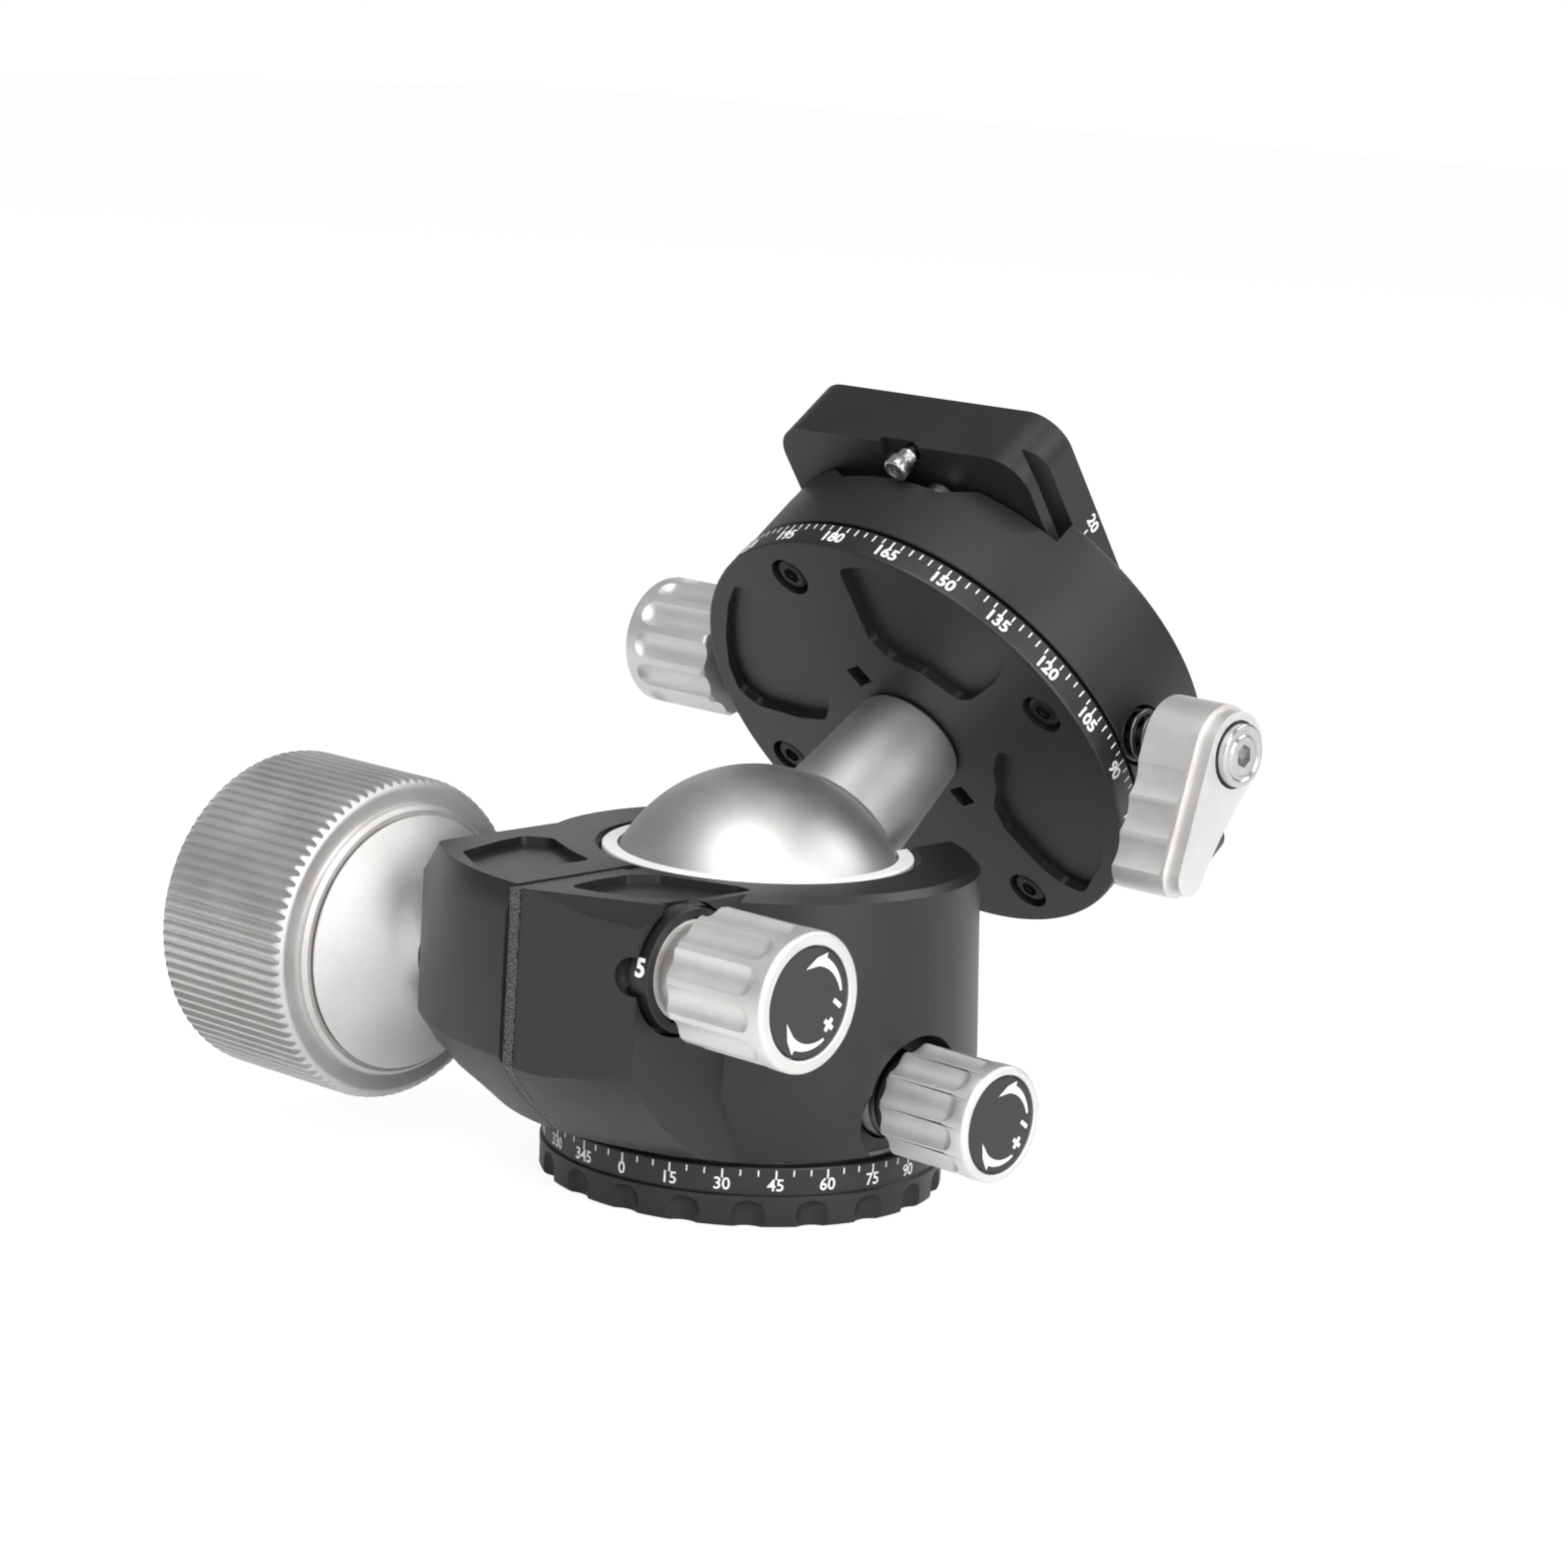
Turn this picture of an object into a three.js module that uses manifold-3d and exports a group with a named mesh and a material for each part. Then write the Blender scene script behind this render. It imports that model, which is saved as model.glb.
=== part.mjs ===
// Tripod ball head with a split clamp housing, a panning base, a tilting ball with a numbered
// scale plate, a panning drum clamp on top of it and a quick-release camera plate.
// Sizes are in millimetres. Z is the pan axis, and the underside of the base lies at zero height.
import * as THREE from "three";
import { mergeVertices } from "three/addons/utils/BufferGeometryUtils.js";
import Module from "manifold-3d";

const wasm = await Module();
wasm.setup();

// Gaps between neighbours, reach of cutters past the face they open, and facets of round pieces
const clearance = 0.3;
const overrun = 1;
const largeFacets = 32;
const mediumFacets = 20;
const bushingFacets = 12;
const smallFacets = 8;
const gripFacets = 24;

// Ball and stem
const ballRadius = 18;
const ballRoom = 3.7;
const restTilt = 53.95;
const stemRootRadius = 8.1;
const stemTopRadius = 6.9;
const stemTop = 32;
const spigotRadius = 5;

// Base ring with its scallops, tripod thread and pan washer
const baseRadius = 23.6;
const baseHeight = 7;
const baseFloor = 4.5;
const baseBandHeight = 3.7;
const baseGroove = 0.3;
const baseTaper = 0.3;
const baseEdge = 0.4;
const scallopCount = 20;
const scallopRadius = 2.4;
const scallopDepth = 1.1;
const studRadius = 4.76;
const insertRadius = 6.5;
const insertFlangeRadius = 8.2;
const insertFlange = 1.2;
const insertSink = 0.3;
const panWasherInner = 18.5;
const panWasherOuter = 21.5;
const panWasher = 1.2;

// Pan spindle inside the housing, with its screws, and the sprung seat below the ball
const spindleRadius = 15;
const spindleFloor = 3.7;
const spindleFlangeRadius = 19.2;
const spindleRimBelowBall = 13.2;
const spindleRimWall = 3.8;
const spindleShelf = 2;
const springCupRadius = 12.8;
const brakeGrooveHalf = 2;
const brakeGrooveDepth = 1.2;
const baseScrewCount = 3;
const baseScrewCircle = 11.2;
const baseScrewRadius = 1.25;
const baseScrewHeadRadius = 2.4;
const baseScrewHead = 2.2;
const baseScrewSink = 0.6;
const seatInner = 8;
const seatOuter = 14.7;
const springInner = 9.3;
const springThickness = 0.8;

// Housing: round barrel, and the ear that carries the clamp screw beside it
const housingTopAboveBall = 8.3;
const housingTopRadius = 25.8;
const housingWaistRadius = 26.9;
const housingFootRadius = 24;
const housingWaistHeight = 16;
const housingEdge = 1;
const earReach = 39.4;
const jawReach = 38.8;
const jawFace = 24;
const jawCornerStart = 29;
const frictionFace = 16;
const slitWidth = 1.7;
const slitEndReach = 38.2;
const jawBevel = 1.6;
const jawBevelDrop = 3.1;
const boreRadius = 20.2;
const boreLip = 2.5;
const notchHalf = 9.7;
const pocketDepth = 1;
const ringLip = 2.1;
const linerTopRadius = 18.1;
const sealInset = 0.3;

// Main clamp knob on the jaw side of the ear
const mainKnobDepth = 26;
const mainKnobBelowBall = 5.4;
const collarReach = 6.3;
const collarFootRadius = 4.2;
const collarRimRadius = 15;
const mainKnobStart = 31.7;
const mainKnobEnd = 52.6;
const mainKnobRadius = 19.1;
const mainFluteCount = 48;
const mainFluteDepth = 0.7;
const mainKnobEdge = 1;
const mainRingRadius = 16;
const mainCapRadius = 13.7;
const mainCapThickness = 1.4;
const mainCavityRadius = 12;
const mainCavityDepth = 8.6;
const clampScrewRadius = 3;
const clampScrewReach = 8;
const clampScrewHeadRadius = 6;
const clampScrewHead = 4;
const clampNutRadius = 4.4;
const clampNutLength = 6;

// Friction knob on the other side of the ear
const frictionDepth = 28.6;
const frictionAboveBall = 1.1;
const frictionRecessRadius = 7.6;
const frictionRecess = 1.9;
const frictionIndexRadius = 2.1;
const dialRadius = 7;
const dialBand = 1.7;
const dialNoseRadius = 6.2;
const dialEnd = 20;
const frictionKnobRadius = 7.8;
const frictionKnobLength = 14.1;
const frictionCapRadius = 6.1;
const frictionScrewRadius = 2.3;
const plungerRadius = 1.7;
const plungerLength = 8.8;
const plungerTip = 0.3;

// Pan lock knob on the barrel
const panLockHeight = 14.2;
const panLockSpot = 22;
const panLockSpotRadius = 7.6;
const panBushingRadius = 5;
const panBushingEnd = 24;
const panSealThickness = 1.5;
const panKnobRadius = 6.7;
const panKnobLength = 12.6;
const panCapRadius = 5.5;
const panScrewRadius = 2;
const shoeLength = 1.9;
const shoeTravel = 0.5;

// Small knobs: flutes, caps and edges that they share
const knobFluteCount = 12;
const knobFluteRadius = 1.7;
const knobFluteDepth = 0.8;
const knobFluteStop = 1.4;
const knobEdge = 0.5;
const knobCapThickness = 0.8;
const knobCapSink = 0.2;

// Scale plate on the stem; stations are distances from the ball's centre along the stem
const plateMargin = 10.9;
const plateThickness = 3.9;
const plateEdge = 0.4;
const platePocketDepth = 1.2;
const plateScrewCount = 4;
const plateScrewShare = 0.836;
const plateScrewTurn = -110;
const plateScrewRadius = 1.25;
const plateScrewHeadRadius = 2.3;
const plateScrewHead = 0.9;
const plateScrewSink = 1.6;
const plateSocket = 2.6;
const plateSocketCircle = 9.8;
const plateSocketTurn = -116;

// Post that the drum turns on, its washers and the long centre screw
const postInset = 3.3;
const postFlangeMargin = 2.1;
const postFlange = 0.8;
const postGrooveHalf = 1.5;
const postGrooveDepth = 1.2;
const drumWasher = 0.5;
const retainerRadius = 7;
const retainerThickness = 0.9;
const centreScrewRadius = 2.5;
const centreScrewFoot = 22.5;
const centreScrewHeadRadius = 4.2;
const centreScrewHead = 0.8;

// Drum with the dovetail channel, and its two jaws
const drumInset = 0.2;
const drumGap = 0.4;
const drumHeight = 14.3;
const drumEdge = 0.6;
const channelMargin = 1.45;
const channelDepth = 3.55;
const channelShelf = 11.3;
const middleHalf = 7.5;
const middleDepth = 2.35;
const webThickness = 2.1;
const clampAxisRise = 3.3;
const jawHalfLength = 13;
const jawWall = 3.6;
const jawUndercut = 1.7;
const jawBelowRod = 1.7;
const jawTravel = 2;
const jawLip = 1.4;
const fixedJawHeight = 6.9;
const fixedJawWall = 5.2;
const jawScrewSpacing = 17;
const jawScrewRadius = 1.25;
const jawScrewHeadRadius = 1.9;
const jawScrewHead = 1.3;
const jawScrewDepth = 3;
const jawSpringRadius = 1.25;
const jawSpringLength = 2.2;
const sideSlotTurn = 130;
const sideSlotBelowTop = 1.5;
const sideSlotHeight = 4.2;
const sideSlotDepth = 1.2;

// Lever on the pull rod
const rodRadius = 1.1;
const leverStandOff = 4.4;
const leverDepth = 7.3;
const leverFaceDepth = 1.9;
const leverHeadRadius = 5.5;
const leverTipRadius = 2.8;
const leverLength = 15.2;
const leverTurn = -63;
const leverInset = 0.5;
const leverWaist = 1.3;
const leverGripCount = 3;
const leverGripRadius = 4;
const leverGripDepth = 0.4;
const leverGripPitch = 4.2;
const leverScrewRadius = 3.7;
const leverScrewHead = 1.5;
const leverScrewProud = 1.1;
const coilRadius = 2.9;
const coilWire = 0.7;
const coilCurls = 3.5;
const coilSeatDepth = 2.6;

// Drum lock knob, opposite the lever
const drumBushingRadius = 2.6;
const drumCollarRadius = 4.2;
const drumCollar = 0.9;
const drumSealThickness = 1.3;
const drumSealRadius = 5.2;
const drumKnobRadius = 8;
const drumKnobLength = 13.6;
const drumCapRadius = 6.3;
const drumScrewRadius = 1.3;
const drumShoeRadius = 1.2;
const drumShoeLength = 2.4;

// Camera plate, its pads and screws
const cameraPlateWidth = 38;
const cameraPlateOverhang = 5.3;
const cameraPlateThickness = 8.7;
const cameraPlateShift = 2.2;
const cameraPlateCorner = 4.6;
const cameraPlateEdge = 0.35;
const dovetailShoulderRise = 1.55;
const dovetailApexRise = 3.05;
const dovetailLipRise = 4.25;
const dovetailDepth = 2;
const padSideMargin = 4;
const padEndMargin = 5;
const padHoleRadius = 7;
const padThickness = 1;
const padProud = 0.3;
const stopScrewInset = 1.3;
const stopScrewRadius = 1.55;
const stopScrewHead = 3;
const stopScrewShank = 0.7;
const stopScrewDepth = 3;
const stopOffset = 2.2;
const cameraScrewRadius = 3.1;
const cameraScrewHeadRadius = 6;
const cameraScrewHead = 2.6;
const cameraScrewReach = 4.8;

// Heights, stations and widths that follow from the sizes above
const spindleFoot = baseFloor + clearance;
const ballHeight = spindleFoot + spindleFloor + ballRoom + ballRadius;
const spindleRimTop = ballHeight - spindleRimBelowBall;
const housingTop = ballHeight + housingTopAboveBall;
const mainKnobHeight = ballHeight - mainKnobBelowBall;
const frictionHeight = ballHeight + frictionAboveBall;
const housingFloor = baseHeight + 2 * clearance;
const sphereSeat = ballRadius + clearance;
const spindleFlangeFoot = housingFloor + ringLip + clearance;
const spindleShelfTop = spindleFlangeFoot + spindleShelf;
const linerFoot = spindleRimTop + 2 * clearance;
const jawSeat = cameraPlateWidth / 2;
const jawInner = jawSeat - jawUndercut;
const jawOuter = jawSeat + jawWall;
const fixedJawOuter = jawSeat + fixedJawWall;
const channelHalf = jawSeat + channelMargin;
const dovetailApexHalf = jawSeat - dovetailDepth;
const plateRadius = jawSeat + plateMargin;
const plateFoot = stemTop + clearance;
const plateTop = plateFoot + plateThickness;
const plateScrewCircle = plateScrewShare * plateRadius;
const postRadius = jawInner - postInset;
const postFoot = plateTop + clearance;
const postFlangeRadius = plateScrewCircle + postFlangeMargin;
const drumRadius = plateRadius - drumInset;
const drumFloor = plateTop + drumGap;
const drumTop = drumFloor + drumHeight;
const channelFloor = drumTop - channelDepth;
const middleFloor = channelFloor - middleDepth;
const webFoot = middleFloor - webThickness;
const postTop = webFoot - drumWasher - 2 * clearance;
const clampAxis = drumFloor + clampAxisRise;
const jawFoot = clampAxis - jawBelowRod;
const fixedJawFoot = drumTop - fixedJawHeight;
const sideSlotHigh = drumTop - sideSlotBelowTop;
const sideSlotLow = sideSlotHigh - sideSlotHeight;
const leverStart = drumRadius + leverStandOff;
const leverStep = leverStart + leverDepth;
const leverEnd = leverStep + leverFaceDepth;
const cameraPlateLength = 2 * (drumRadius + cameraPlateOverhang);
const padWidth = cameraPlateWidth - 2 * padSideMargin;
const padLength = cameraPlateLength - 2 * padEndMargin;
const cameraPlateFoot = channelFloor + clearance;
const cameraPlateTop = cameraPlateFoot + cameraPlateThickness;
const dovetailShoulder = cameraPlateFoot + dovetailShoulderRise;
const dovetailApex = cameraPlateFoot + dovetailApexRise;
const dovetailLip = cameraPlateFoot + dovetailLipRise;
const stemDirection = new THREE.Vector3(0, Math.sin(radians(restTilt)), Math.cos(radians(restTilt)));
const stemSide = new THREE.Vector3(0, stemDirection.z, -stemDirection.y);

const blackAlloy = finish(0x434446, 0.55, 0.5);
const satinSilver = finish(0xc9c7c3, 0.42, 0.85);
const polishedSteel = finish(0xb9bbbd, 0.25, 1);
const springSteel = finish(0x8f9295, 0.35, 1);
const brass = finish(0xb08d4a, 0.4, 1);
const whitePolymer = finish(0xeeeeec, 0.5, 0);
const darkPolymer = finish(0x2b2c2d, 0.6, 0);
const blackRubber = finish(0x1d1d1e, 0.85, 0);

/** Material of one colour, roughness and metalness. */
function finish(color, roughness, metalness) {
  return new THREE.MeshStandardMaterial({ color, roughness, metalness });
}

/** Degrees as radians. */
function radians(degrees) {
  return THREE.MathUtils.degToRad(degrees);
}

/** Closed mesh with welded corners and no empty faces, as a solid that can be cut. */
function toSolid(geometry) {
  const bare = geometry.clone();
  bare.deleteAttribute("normal");
  bare.deleteAttribute("uv");
  const welded = mergeVertices(bare);
  const corners = welded.index.array;
  const kept = [];
  for (let i = 0; i < corners.length; i += 3) {
    const [a, b, c] = corners.slice(i, i + 3);
    if (a !== b && b !== c && c !== a) kept.push(a, b, c);
  }
  const vertProperties = Float32Array.from(welded.attributes.position.array);
  const triVerts = Uint32Array.from(kept);
  return new wasm.Manifold(new wasm.Mesh({ numProp: 3, vertProperties, triVerts }));
}

/** Flat-shaded geometry of a solid. */
function toGeometry(solid) {
  const mesh = solid.getMesh();
  const indexed = new THREE.BufferGeometry();
  indexed.setAttribute("position", new THREE.BufferAttribute(Float32Array.from(mesh.vertProperties), 3));
  indexed.setIndex(new THREE.BufferAttribute(Uint32Array.from(mesh.triVerts), 1));
  const flat = indexed.toNonIndexed();
  flat.computeVertexNormals();
  return flat;
}

/** The body with every tool's volume taken away. */
function cut(body, ...tools) {
  return toGeometry(tools.reduce((rest, tool) => rest.subtract(toSolid(tool)), toSolid(body)));
}

/** One body made of all the shapes. */
function join(...shapes) {
  return toGeometry(shapes.map(toSolid).reduce((sum, shape) => sum.add(shape)));
}

/** What all the shapes have in common. */
function common(...shapes) {
  return toGeometry(shapes.map(toSolid).reduce((rest, shape) => rest.intersect(shape)));
}

/** A profile of [radius, height] pairs turned about Z. */
function turned(profile, facets = largeFacets) {
  const next = (i) => profile[(i + 1) % profile.length];
  const area = profile.reduce((sum, [r, z], i) => sum + r * next(i)[1] - next(i)[0] * z, 0);
  const outward = area > 0 ? profile : [...profile].reverse();
  const onAxis = outward[0][0] === 0 && outward[outward.length - 1][0] === 0;
  const closed = onAxis ? outward : [...outward, outward[0]];
  const points = closed.map(([r, z]) => new THREE.Vector2(r, z));
  return new THREE.LatheGeometry(points, facets).rotateX(Math.PI / 2);
}

/** A round bar along Z. */
function rod(radius, from, to, facets = mediumFacets) {
  const bar = new THREE.CylinderGeometry(radius, radius, to - from, facets);
  return bar.rotateX(Math.PI / 2).translate(0, 0, (from + to) / 2);
}

/** A round sleeve along Z. */
function sleeve(inner, outer, from, to, facets = mediumFacets) {
  return turned([[inner, from], [outer, from], [outer, to], [inner, to]], facets);
}

/** A box between two opposite corners. */
function block([x0, y0, z0], [x1, y1, z1]) {
  return new THREE.BoxGeometry(x1 - x0, y1 - y0, z1 - z0)
    .translate((x0 + x1) / 2, (y0 + y1) / 2, (z0 + z1) / 2);
}

/** An outline of [x, y] pairs raised along Z. */
function slab(outline, from, to) {
  const shape = new THREE.Shape(outline.map(([x, y]) => new THREE.Vector2(x, y)));
  const raised = new THREE.ExtrudeGeometry(shape, { depth: to - from, bevelEnabled: false });
  return raised.translate(0, 0, from);
}

/** An outline of [x, z] pairs drawn out along Y. */
function slabAlongY(outline, from, to) {
  return slab(outline, -to, -from).rotateX(Math.PI / 2);
}

/** Copies of a shape spread evenly round Z. */
function around(shape, count, firstTurn = 0) {
  return Array.from({ length: count }, (_, i) =>
    shape.clone().rotateZ(radians(firstTurn) + (2 * Math.PI * i) / count));
}

/** Points of an arc about the origin. */
function arc(radius, fromDegrees, toDegrees, steps) {
  return Array.from({ length: steps + 1 }, (_, i) => {
    const angle = radians(fromDegrees + ((toDegrees - fromDegrees) * i) / steps);
    return [radius * Math.cos(angle), radius * Math.sin(angle)];
  });
}

/** Profile of a ball-shaped seat, given as [radius, height] pairs from one height to the other. */
function sphereProfile(radius, centre, from, to, steps = 5) {
  const start = Math.asin((from - centre) / radius);
  const end = Math.asin((to - centre) / radius);
  return Array.from({ length: steps + 1 }, (_, i) => {
    const angle = start + ((end - start) * i) / steps;
    return [radius * Math.cos(angle), centre + radius * Math.sin(angle)];
  });
}

/** Frame with its Z along the direction and its Y along the side given. */
function frameAlong(direction, side, origin) {
  const across = new THREE.Vector3().crossVectors(side, direction);
  return new THREE.Matrix4().makeBasis(across, side, direction).setPosition(origin);
}

/** A shape moved into a frame. */
function placed(shape, frame) {
  return shape.clone().applyMatrix4(frame);
}

/** A named piece. */
function piece(name, geometry, material) {
  const mesh = new THREE.Mesh(geometry, material);
  mesh.name = name;
  return mesh;
}

/** Copies of one piece, numbered from 1. */
function numbered(name, geometries, material) {
  return geometries.map((geometry, i) => piece(`${name}_${i + 1}`, geometry, material));
}

/** Pieces that are drawn in one frame. */
function assembly(frame, ...pieces) {
  const holder = new THREE.Group();
  holder.applyMatrix4(frame);
  holder.add(...pieces);
  return holder;
}

const upwards = new THREE.Vector3(0, 0, 1);
const plusX = new THREE.Vector3(1, 0, 0);
const minusX = new THREE.Vector3(-1, 0, 0);
const bodyFrame = new THREE.Matrix4();
const stemFrame = frameAlong(stemDirection, stemSide, new THREE.Vector3(0, 0, ballHeight));
const mainKnobFrame = frameAlong(minusX, upwards, new THREE.Vector3(0, -mainKnobDepth, mainKnobHeight));
const frictionFrame = frameAlong(plusX, upwards, new THREE.Vector3(0, -frictionDepth, frictionHeight));
const panLockFrame = frameAlong(plusX, upwards, new THREE.Vector3(0, 0, panLockHeight));
const leverFrame = frameAlong(plusX, upwards, new THREE.Vector3(0, 0, clampAxis));
const drumLockFrame = frameAlong(minusX, upwards, new THREE.Vector3(0, 0, clampAxis));

/** Base ring: scalloped grip band, scale band above a groove, recess for the spindle. */
function baseRing() {
  const hub = spindleRadius + clearance;
  const scaleRadius = baseRadius - baseTaper;
  const washerSeat = baseHeight - panWasher;
  const body = turned([
    [insertRadius + clearance, 0], [baseRadius - baseEdge, 0], [baseRadius, baseEdge],
    [baseRadius, baseBandHeight], [baseRadius - baseGroove, baseBandHeight + baseGroove],
    [baseRadius, baseBandHeight + 2 * baseGroove], [scaleRadius, baseHeight - baseEdge],
    [scaleRadius - baseEdge, baseHeight], [panWasherOuter + clearance, baseHeight],
    [panWasherOuter + clearance, washerSeat], [panWasherInner - clearance, washerSeat],
    [panWasherInner - clearance, baseHeight], [hub, baseHeight], [hub, baseFloor],
    [insertRadius + clearance, baseFloor],
  ]);
  const scallop = rod(scallopRadius, -overrun, baseBandHeight, smallFacets)
    .translate(baseRadius + scallopRadius - scallopDepth, 0, 0);
  const counterbore = rod(baseScrewHeadRadius + clearance, -overrun,
    baseScrewSink + baseScrewHead + clearance, smallFacets);
  const hole = rod(baseScrewRadius + clearance, 0, baseFloor + overrun, smallFacets);
  const screwWay = join(counterbore, hole).translate(baseScrewCircle, 0, 0);
  return cut(body, ...around(scallop, scallopCount, 180 / scallopCount),
    ...around(screwWay, baseScrewCount));
}

/** Steel insert with the tripod thread's bore. */
function threadInsert() {
  const flangeFoot = spindleFoot + spindleFloor + clearance;
  const top = flangeFoot + insertFlange;
  return turned([[studRadius, insertSink], [insertRadius, insertSink], [insertRadius, flangeFoot],
    [insertFlangeRadius, flangeFoot], [insertFlangeRadius, top], [studRadius, top]], mediumFacets);
}

/** Thrust washer between the base ring and the housing. */
function panThrustWasher() {
  const foot = baseHeight - panWasher + clearance;
  return sleeve(panWasherInner, panWasherOuter, foot, foot + panWasher, mediumFacets);
}

/** Cup-shaped spindle that the housing pans on, with the pan lock's groove in its rim. */
function panSpindle() {
  const floorTop = spindleFoot + spindleFloor;
  const bore = insertRadius + clearance;
  const grooveRadius = spindleFlangeRadius - brakeGrooveDepth;
  const rimInner = spindleFlangeRadius - spindleRimWall;
  const body = turned([
    [bore, spindleFoot], [spindleRadius, spindleFoot], [spindleRadius, spindleFlangeFoot],
    [spindleFlangeRadius, spindleFlangeFoot],
    [spindleFlangeRadius, panLockHeight - brakeGrooveHalf - clearance],
    [grooveRadius, panLockHeight - brakeGrooveHalf], [grooveRadius, panLockHeight + brakeGrooveHalf],
    [spindleFlangeRadius, panLockHeight + brakeGrooveHalf + clearance],
    [spindleFlangeRadius, spindleRimTop], [rimInner, spindleRimTop], [rimInner, spindleShelfTop],
    [springCupRadius, spindleShelfTop], [springCupRadius, floorTop], [bore, floorTop],
  ], mediumFacets);
  const hole = rod(baseScrewRadius + clearance, spindleFoot - overrun, floorTop + overrun, smallFacets)
    .translate(baseScrewCircle, 0, 0);
  return cut(body, ...around(hole, baseScrewCount));
}

/** Screws that hold the spindle to the base ring. */
function baseScrews() {
  const shoulder = baseScrewSink + baseScrewHead;
  const tip = spindleFoot + spindleFloor - clearance;
  const screw = turned([[0, baseScrewSink], [baseScrewHeadRadius, baseScrewSink],
    [baseScrewHeadRadius, shoulder], [baseScrewRadius, shoulder], [baseScrewRadius, tip], [0, tip]],
  smallFacets).translate(baseScrewCircle, 0, 0);
  return around(screw, baseScrewCount);
}

/** Sprung ring that carries the ball from below. */
function lowerSeat() {
  const foot = spindleShelfTop + clearance;
  const edge = ballHeight - Math.sqrt(sphereSeat ** 2 - seatInner ** 2);
  const face = sphereProfile(sphereSeat, ballHeight, edge, spindleRimTop);
  return turned([[seatInner, foot], [seatOuter, foot], [seatOuter, spindleRimTop], ...face.reverse()],
    mediumFacets);
}

/** Disc spring below the ball's seat. */
function seatSpring() {
  const foot = spindleFoot + spindleFloor + clearance;
  const top = spindleShelfTop;
  const outer = springCupRadius - clearance;
  return turned([[springInner, foot], [springInner + springThickness, foot],
    [outer, top - springThickness], [outer, top], [outer - springThickness, top],
    [springInner, foot + springThickness]], mediumFacets);
}

/** Outline of the ear in plan, from its friction face round the slit's end to the jaw's face. */
function earOutline() {
  const jawArc = arc(jawReach, 237, 267.5, 5);
  const bend = new THREE.QuadraticBezierCurve(
    new THREE.Vector2(-jawFace, -jawCornerStart),
    new THREE.Vector2(-jawFace, jawArc[0][1] + slitWidth),
    new THREE.Vector2(...jawArc[0]));
  const corner = bend.getPoints(3).slice(0, -1).map(({ x, y }) => [x, y]);
  return [[frictionFace, 0], [-jawFace, 0], ...corner, ...jawArc, [-slitWidth / 2, -slitEndReach],
    [0.6 * frictionFace, -slitEndReach + clearance * 2],
    [frictionFace, -Math.sqrt(earReach ** 2 - frictionFace ** 2)]];
}

/** Flank of the ear's rounded underside, as radius and height. */
function bowlFlank() {
  const bowlShares = [[0.608, 0], [0.752, 0.058], [0.818, 0.133], [0.878, 0.197], [0.934, 0.278],
    [0.98, 0.362], [1, 0.443]];
  const rise = housingTop - housingFloor;
  return bowlShares.map(([r, z]) => [r * earReach, housingFloor + z * rise]);
}

/** Cutter that leaves a steep bevel round the top edge of the ear's jaw side. */
function jawBevelCutter() {
  const foot = housingTop - jawBevelDrop;
  const height = jawBevelDrop + overrun;
  const kept = slab(earOutline(), 0, height);
  const places = kept.getAttribute("position");
  for (let i = 0; i < places.count; i += 1) {
    const share = 1 - (jawBevel * places.getZ(i)) / (jawBevelDrop * jawReach);
    places.setXY(i, places.getX(i) * share, places.getY(i) * share);
  }
  return cut(block([-earReach, -earReach, foot], [-slitWidth, 0, foot + height]),
    kept.translate(0, 0, foot));
}

/** Round body and ear of the housing, before anything is cut into them. */
function housingBlank() {
  const barrel = turned([[0, housingFloor], [housingFootRadius, housingFloor],
    [housingWaistRadius, housingWaistHeight], [housingTopRadius, housingTop - housingEdge],
    [housingTopRadius - housingEdge, housingTop], [0, housingTop]]);
  const bowl = turned([[0, housingFloor], ...bowlFlank(), [earReach, housingTop - housingEdge],
    [earReach - housingEdge, housingTop], [0, housingTop]]);
  const ear = common(slab(earOutline(), housingFloor, housingTop), bowl);
  return join(barrel, cut(ear, jawBevelCutter()));
}

/** Wedge that takes the large facet off the ear's friction corner. */
function facetCutter() {
  const facetTurn = -63.4;
  const facetTilt = 21.7;
  const facetShares = [0.099, -0.931];
  return block([-earReach, -earReach, 0], [earReach, earReach, earReach])
    .rotateY(radians(facetTilt)).rotateZ(radians(facetTurn))
    .translate(facetShares[0] * earReach, facetShares[1] * earReach, housingTop);
}

/** Shallow pockets in the ear's top, one on each side of the slit. */
function topPockets() {
  const jawPocketShares = [[-0.437, -0.782], [-0.487, -0.584], [-0.5, -0.47], [-0.43, -0.42],
    [-0.285, -0.495], [-0.157, -0.54], [-0.16, -0.67], [-0.162, -0.865], [-0.266, -0.883]];
  const arcPocketShares = [[0.061, -0.85], [0.043, -0.716], [0.046, -0.596], [0.094, -0.523],
    [0.2, -0.48], [0.32, -0.434], [0.383, -0.434], [0.37, -0.657], [0.266, -0.789], [0.152, -0.827]];
  return [jawPocketShares, arcPocketShares].map((shares) =>
    slab(shares.map(([x, y]) => [x * earReach, y * earReach]).reverse(),
      housingTop - pocketDepth, housingTop + overrun));
}

/** Bore for the ball and its liner, open below, with a lip at the top. */
function boreCutter() {
  const lipRadius = linerTopRadius + clearance;
  const coneTop = housingTop - boreLip;
  return turned([[0, housingFloor - overrun], [boreRadius, housingFloor - overrun],
    [boreRadius, coneTop - boreRadius + lipRadius], [lipRadius, coneTop],
    [lipRadius, housingTop + overrun], [0, housingTop + overrun]]);
}

/** Slot that the stem drops into, open at the top and towards +Y. */
function notchCutter(half, from) {
  const far = housingWaistRadius + overrun;
  const trough = rod(half, 0, far - from).rotateX(-Math.PI / 2).translate(0, from, ballHeight);
  return join(trough, block([-half, from, ballHeight], [half, far, housingTop + overrun]));
}

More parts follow.
